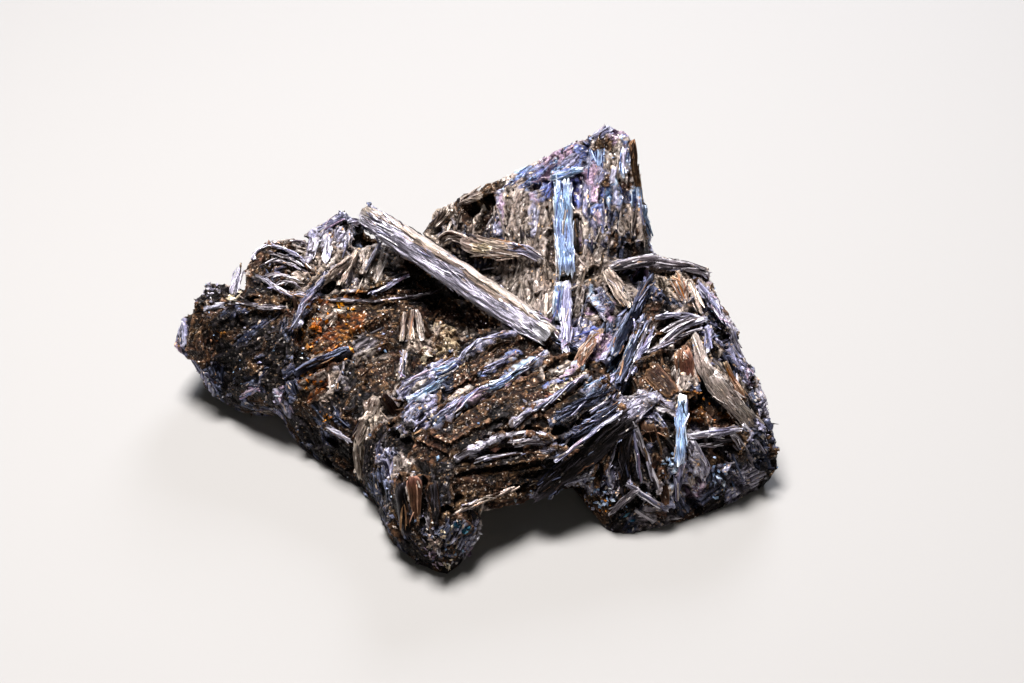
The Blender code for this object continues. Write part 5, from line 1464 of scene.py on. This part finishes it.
# %% The bundles of the west lump
WEST_BUNDLES = table("""
    lavender 0.68 0.56 20 0.9  -27.6 1 0.3  -26.4 4 0.4  -24.8 6.4 0.5  -22.9 8.8 0.4
    silver 0.99 0.42 0 0.7  -25.2 11.2 0.4  -24.7 12.9 0.4
    silver 0.99 0.42 0 0.7  -23.2 11 0.4  -22.7 13.2 0.4
    lavender 0.9 0.42 0 0.7  -24.4 13.6 0.2  -21 15.9 0.2
    lavender 0.45 0.42 50 0.9  -18.5 8.7 0.4  -16.4 12.7 0.4
    lavender 0.45 0.42 50 0.8  -17.9 6 0.5  -15.4 7.1 0.5  -12.8 8.5 0.5
    ash 0.38 0.28 60 0.8  -23.3 5.4 0.4  -18.6 5.1 0.5  -13.4 5.5 0.5  -9.2 6.4 0.4
    silver 0.32 0.32 -38 0.8  -31.6 12.4 0.2  -28.9 11.6 0.4  -26.4 10.4 0.5  -25.1 9 0.4
    ash 0.3 0.3 -38 0.8  -30.9 11.2 0.3  -28.2 10.5 0.4  -26 9.2 0.4
    ash 0.3 0.3 -38 0.8  -32.4 8.8 0.3  -30 9.9 0.5  -27.6 9.6 0.5  -25.4 8.4 0.4
    ash 0.28 0.3 -38 0.8  -31.2 8.2 0.4  -28.8 8.3 0.5  -26.4 7.2 0.4
    silver 0.26 0.28 -38 0.8  -32.6 10.2 0.3  -31.4 11.6 0.3  -29.6 12.6 0.2
    ash 0.28 0.3 -38 0.8  -28 12.6 0.2  -26 12.2 0.3  -24.9 10.8 0.3
    ash 0.26 0.28 -38 0.8  -30.4 6.4 0.4  -28.2 7.4 0.4  -26.2 6.4 0.4
    silver 0.45 0.35 -30 0.8  -33.6 9 0.3  -30.6 7.4 0.5  -27.8 5.9 0.5  -25.6 5.6 0.4
    ash 0.52 0.35 -30 0.8  -35.2 5 0.3  -31.6 4.3 0.5  -28 4.2 0.4
    silver 0.6 0.35 -30 0.8  -38.4 4 0.3  -36 4.6 0.4
    silver 0.6 0.42 20 0.5  -23.5 -10.3 0.4  -20 -12.6 0.5
    lavender 0.6 0.35 20 0.8  -13.5 -1 0.3  -13.8 -4.8 0.3
    rose 0.52 0.35 0 0.7  -34 -7 0.3  -31.5 -5.8 0.3
""")
large_blades("west_bundles", WEST_BUNDLES, 190, bundled=True)

# %% Plates seen on their flat face, which have hardly split
FLAT_PLATES = table("""
    russet 2.2 0.6 4 0.3  -12.3 -17.2 0.7  -11.8 -22.7 0.5
    russet 2.5 0.7 4 0.8  21.2 -1.3 0.3  22.4 -7 0.3
    brown 2.4 0.7 8 0.5  17 -10.6 0.3  19.2 -20.2 0.3
    umber 2.6 0.5 -10 0.8  17.2 -3.4 0.2  20.2 -6.6 0.2
""")
large_blades("flat_plates", FLAT_PLATES, 195, groove=0.04, ragged=0.3, wave=0.08, split=0.0)

# %% [markdown]
# ## Splinters
#
# Every face of the mass is covered with small blades that run the way their sheaf does. Places are
# picked evenly by area. Each splinter is laid in the surface, tipped up a little at its leading end so
# that it overlaps the next like a scale, and rolled so that no two catch the light alike. Copies of
# one blade, scattered as instances, would be lighter, but they would all break the same way.

# %% Splinters
FOOT_CLEARANCE = 0.4
STANDING_MOST = 0.16
mass_tree = BVHTree.FromPolygons(
    [tuple(place) for place in mass_points], [tuple(face.vertices) for face in mass_mesh.polygons]
)


def stands_out(place):
    """How far in mm a place is outside the mass, and less than 0 inside it."""
    found, normal, _, distance = mass_tree.find_nearest(Vector(place))
    return distance if (Vector(place) - found).dot(normal) > 0.0 else -distance


print("a place 1 mm above a vertex is", round(stands_out(mass_points[0] + mass_normals[0]), 2), "mm out")


def splinters(name, count, keep, seed, share, slim, sides, rings):
    """A piece of small blades scattered over the mass wherever keep(places, normals) holds.

    A blade whose ends would stand out from the mass is left out, so that none looks like a hair.
    """
    places, normals = face_samples(mass_mesh, count)
    kept = keep(places, normals) & (places[:, 2] > FOOT_CLEARANCE)
    places, normals = places[kept], normals[kept]
    plate, _ = grain_of(places)
    bladed_here = rng.random(len(plate)) > 0.8 * plate_felted[plate]
    places, normals, plate = places[bladed_here], normals[bladed_here], plate[bladed_here]
    number = len(places)
    length = sheaf_lengths[plate_sheaf[plate]] * rng.uniform(0.6, 1.5, number) * share
    width = length * rng.uniform(0.04, 0.12, number) * slim + 0.07
    thick = width * rng.uniform(0.5, 0.9, number) + 0.04
    along = laid_along(plate_along[plate], normals)
    along = turned_about(along, normals, rng.normal(0.0, 0.16, number))
    tip = rng.normal(0.02, 0.05, number)
    leading = unit(along * np.cos(tip)[:, None] + normals * np.sin(tip)[:, None])
    facing = unit(normals - np.sum(normals * leading, axis=1)[:, None] * leading)
    facing = turned_about(facing, leading, rng.normal(0.0, 0.5, number))
    lift = thick * rng.uniform(-0.3, 0.35, number)
    middles = places + lift[:, None] * normals
    standing = np.zeros(number)
    for end in (-0.5, 0.5):
        ends = middles + end * length[:, None] * leading
        standing = np.maximum(standing, [stands_out(place) for place in ends])
    flush = standing < STANDING_MOST
    plate, length, width, thick = plate[flush], length[flush], width[flush], thick[flush]
    middles, leading, facing = middles[flush], leading[flush], facing[flush]
    number = len(plate)
    reach = np.linspace(-0.5, 0.5, rings)[None, :, None]
    bow = rng.normal(0.0, 0.03, number)[:, None, None] * (1.0 - 4.0 * reach**2)
    paths = (
        middles[:, None, :] + reach * (length[:, None] * leading)[:, None, :]
        + (bow * length[:, None, None]) * facing[:, None, :]
    )
    tapers = rng.uniform(0.3, 1.1, number)
    points, grain, rim, _ = bladed(paths, facing, width, thick, tapers, sides, 0.0, 0.6, seed)
    other = MIX_TABLE[sheaf_finishes[plate_sheaf[plate]], rng.integers(MIX_SIZE, size=number)]
    finish = np.where(rng.random(number) < 0.7, plate_finish[plate], other)
    # A random tone, painted a little lighter along each splinter's edges as a highlight; a few are worn
    # toward the edge colour.
    light = rng.beta(1.2, 1.8, number)[:, None, None] + 0.2 * rim
    worn = 0.9 * rng.random(number)[:, None, None] ** 5
    tone = tone_of(finish[:, None, None] + np.zeros(rim.shape, int), light, worn)
    mesh = blade_mesh(name, [blade_arrays(points, tone, grain)], False)
    mesh.calc_loop_triangles()
    print(name, "has", number, "splinters,", len(mesh.loop_triangles), "triangles")
    return finished(name, mesh, blade_finish)


# %% [markdown]
# ## Grains
#
# Broken covellite sheds grains that lodge in the hollows and along the table edge, where they catch the
# light one by one. The finish could draw them as specks, but a real face flashes as the eye moves.
# Eight faces are enough for each. Most lie in patches picked by noise. The pale gangue, the amber
# grains in the brown ground and the blue ones by the lower edge are placed one by one.

# %% Grains
EIGHT_FACES = ((0, 1, 2), (1, 3, 2), (3, 4, 2), (4, 0, 2), (1, 0, 5), (3, 1, 5), (4, 3, 5), (0, 4, 5))
GRAIN_SHAPE = (1.6, 1.0, 0.8)


def grains(name, places, normals, sizes, finish):
    """A piece of eight-faced chips, no two of one shape, each half sunk where it is placed.

    A chip's six corners are a step each way along its three axes, which are turned at random.
    """
    number = len(places)
    axes = np.concatenate([np.eye(3), -np.eye(3)])
    turned = unit(rng.normal(size=(number, 3, 3)))
    second = unit(turned[:, 1] - np.sum(turned[:, 1] * turned[:, 0], axis=1)[:, None] * turned[:, 0])
    frames = np.stack([turned[:, 0], second, np.cross(turned[:, 0], second)], axis=1)
    sizes = sizes[:, None] * rng.uniform(0.5, 1.4, (number, 3)) * GRAIN_SHAPE
    points = np.einsum("ak,nk,nkj->naj", axes, sizes, frames)
    points *= rng.uniform(0.7, 1.3, (number, 6, 1))
    points += places[:, None, :] + 0.4 * sizes.mean(axis=1)[:, None, None] * normals[:, None, :]
    corners = (np.ravel(EIGHT_FACES)[None, :] + 6 * np.arange(number)[:, None]).ravel()
    light = rng.uniform(0.3, 1.0, (number, 1)) + np.zeros((number, 6))
    worn = rng.random((number, 1)) ** 4 + np.zeros((number, 6))
    tone = tone_of(finish[:, None] + np.zeros((number, 6), int), light, worn)
    flat = points.reshape(-1, 3)
    flat[:, 2] = np.maximum(flat[:, 2], 0.0)
    group = (flat, corners, np.full(8 * number, 3), tone.reshape(-1, 3), flat)
    print(name, "has", number, "grains")
    return finished(name, blade_mesh(name, [group], False), blade_finish)


# %% Crumbs in patches
SMALLEST_GRAIN = 0.07


def crumbs(name, count, keep, finishes, largest, seed):
    """Broken grains in patches on the mass, wherever keep(places, normals) holds."""
    places, normals = face_samples(mass_mesh, count)
    patchy = noise(places * 0.35, seed) + 0.4 * noise(places * 1.3, seed + 1)
    kept = keep(places, normals) & (patchy > 0.1) & (normals[:, 2] > -0.6)
    places, normals = places[kept], normals[kept]
    numbers = np.array([FINISH_NAMES.index(finish) for finish in finishes])
    sizes = SMALLEST_GRAIN + largest * rng.random(len(places)) ** 2
    return grains(name, places, normals, sizes, numbers[rng.integers(len(numbers), size=len(places))])


# %% Chips that stand alone: across, up, half size, spread, how many, finish
# Some of these chips are partly the grains' own colour and partly a painted highlight: the cream and rose
# ones, like the ember grains, are made bright where tiny faces glint.
CHIPS = table("""
    -34.4 5.6 0.42 0.5 5 cream
    -27.8 4.5 0.36 0.45 4 cream
    5.7 -6.4 0.3 0.7 14 cream
    7.2 -5.2 0.22 0.8 9 cream
    4.4 -7 0.22 0.8 9 orange
    -10.8 -1.8 0.45 0.5 4 cream
    -11.2 -3 0.3 0.4 3 crust
    -8.2 0.6 0.4 0.9 12 crust
    -2.2 -13.3 0.5 0.3 3 orange
    -5.8 -3.4 0.16 1.6 12 cream
    9.2 -4.2 0.3 0.6 6 cream
    -10.2 -9.4 0.22 0.7 7 cream
    -9.6 -25.4 0.32 0.9 22 khaki
    -8.4 -28 0.26 0.6 7 cream
    -5.6 -26.6 0.24 0.5 6 rose
    -8.6 -24.2 0.24 1.6 16 cream
    -6.2 -23.2 0.4 0.8 10 teal
    -9.6 -27 0.26 1.2 14 rose
    -4.9 -25 0.26 0.9 10 silver
    24 -7.8 0.14 1.6 26 ember
    20.2 -15.2 0.3 1 14 blue
    22.6 -18.8 0.26 1.4 16 silver
    25.8 -17.4 0.26 1.6 18 blue
    29 -16.8 0.26 1.6 18 silver
    11.4 -19 0.26 1.6 20 blue
    14.6 -21.6 0.22 1.6 6 teal
    12 -20.6 0.16 1.2 8 ember
    -24.6 1.8 0.34 0.8 14 ember
    -21 4 0.26 1.2 14 ember
    -24.8 -4.8 0.26 1 12 ember
    -23.4 -9.4 0.24 0.9 8 ember
    -25 -0.6 0.24 0.6 6 ember
    -36.6 1 0.24 0.8 6 amber
    -37.6 6.2 0.24 1.4 26 silver
    -36.4 4.2 0.2 1.4 18 ash
    27.6 1.2 0.24 0.9 14 silver
    29.8 -4.4 0.26 1 16 lavender
    31.4 -8.4 0.26 1 16 silver
    24.6 6.2 0.22 0.9 14 silver
    17 13 0.26 0.5 8 silver
    14 22.4 0.22 1.3 16 blue
""")


def chip_piece(name):
    """The chips that stand alone, scattered about the places named above."""
    places, normals, sizes, finish = [], [], [], []
    for across, up, size, spread, number, kind in CHIPS:
        for step in rng.normal(0.0, 0.6 * spread, (int(number), 2)):
            place = strike(across + step[0], up + step[1])
            found, normal, _, _ = mass_tree.find_nearest(Vector(place))
            places.append(found)
            normals.append(normal)
            sizes.append(size * rng.uniform(0.5, 1.1))
            finish.append(FINISH_NAMES.index(kind))
    return grains(name, *(np.array(made) for made in (places, normals, sizes, finish)))


# %% Which places carry what
TABLE_BAND = 9.0


def faces_front(places, normals):
    """The places whose faces look at the eye of the display side."""
    return sees_eye(places, normals) > 0.0


def faces_away(places, normals):
    """The places whose faces look away from the eye, but not down at the table."""
    return (sees_eye(places, normals) <= 0.0) & (normals[:, 2] > -0.7)


def near_table(places, normals):
    """The places low down, where grains gather, but off the table itself."""
    return (places[:, 2] > 0.3) & (places[:, 2] < TABLE_BAND)


def off_table(places, normals):
    """The places above that band."""
    return places[:, 2] > TABLE_BAND


def on_amber(places, normals):
    """The places in the amber sheaves of the west side, in patches picked by noise."""
    amber = FINISH_NAMES.index("amber")
    west = places[:, 0] < 0.0
    return west & (sheaf_finishes[sheaf_of(places)] == amber) & (noise(places * 0.9, 31) > 0.1)


for keep in (faces_front, faces_away, near_table, off_table, on_amber):
    held = np.mean(keep(mass_points, mass_normals))
    print(keep.__name__, "holds for", round(100 * held), "% of the mass")

# %% The pieces of grains and splinters
TRIES = 1.0
CRUMB_FINISHES = ("brown", "dust", "slate", "silver", "ash", "umber", "dark", "blue", "khaki", "lavender")
EMBER_FINISHES = ("ember", "amber", "ember", "amber")
# Each row: name, how many are tried, which places, seed, length and slimness as shares, sides, rings
SPLINTERS = (
    ("front_fibres", 13000, faces_front, 200, 0.7, 0.9, 3, 3),
    ("front_splinters", 3500, faces_front, 210, 1.2, 1.0, 4, 4),
    ("back_fibres", 11000, faces_away, 220, 0.8, 1.0, 3, 3),
    ("back_splinters", 4500, faces_away, 230, 1.2, 1.1, 4, 4),
    ("back_blades", 1200, faces_away, 235, 1.9, 2.2, 8, 6),
)
crumbs("low_crumbs", int(14000 * TRIES), near_table, CRUMB_FINISHES, largest=0.2, seed=240)
crumbs("high_crumbs", int(7000 * TRIES), off_table, CRUMB_FINISHES, largest=0.2, seed=250)
chip_piece("lone_chips")
# The ember grains of the amber sheaves are partly orange grains and partly a painted highlight: orange
# glints.
crumbs("embers", int(20000 * TRIES), on_amber, EMBER_FINISHES, largest=0.3, seed=260)
for name, count, *rest in SPLINTERS:
    splinters(name, int(count * TRIES), *rest)


# %% Sizes, and the end
def corner_lists(box):
    """A box's two corners as plain lists."""
    return [[float(v) for v in corner] for corner in box]


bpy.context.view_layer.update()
for cad, visual in zip(corner_lists(CAD_BOX), corner_lists(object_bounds())):
    print("visual beyond CAD, mm:", [round((v - c) / MM, 2) for c, v in zip(cad, visual)])
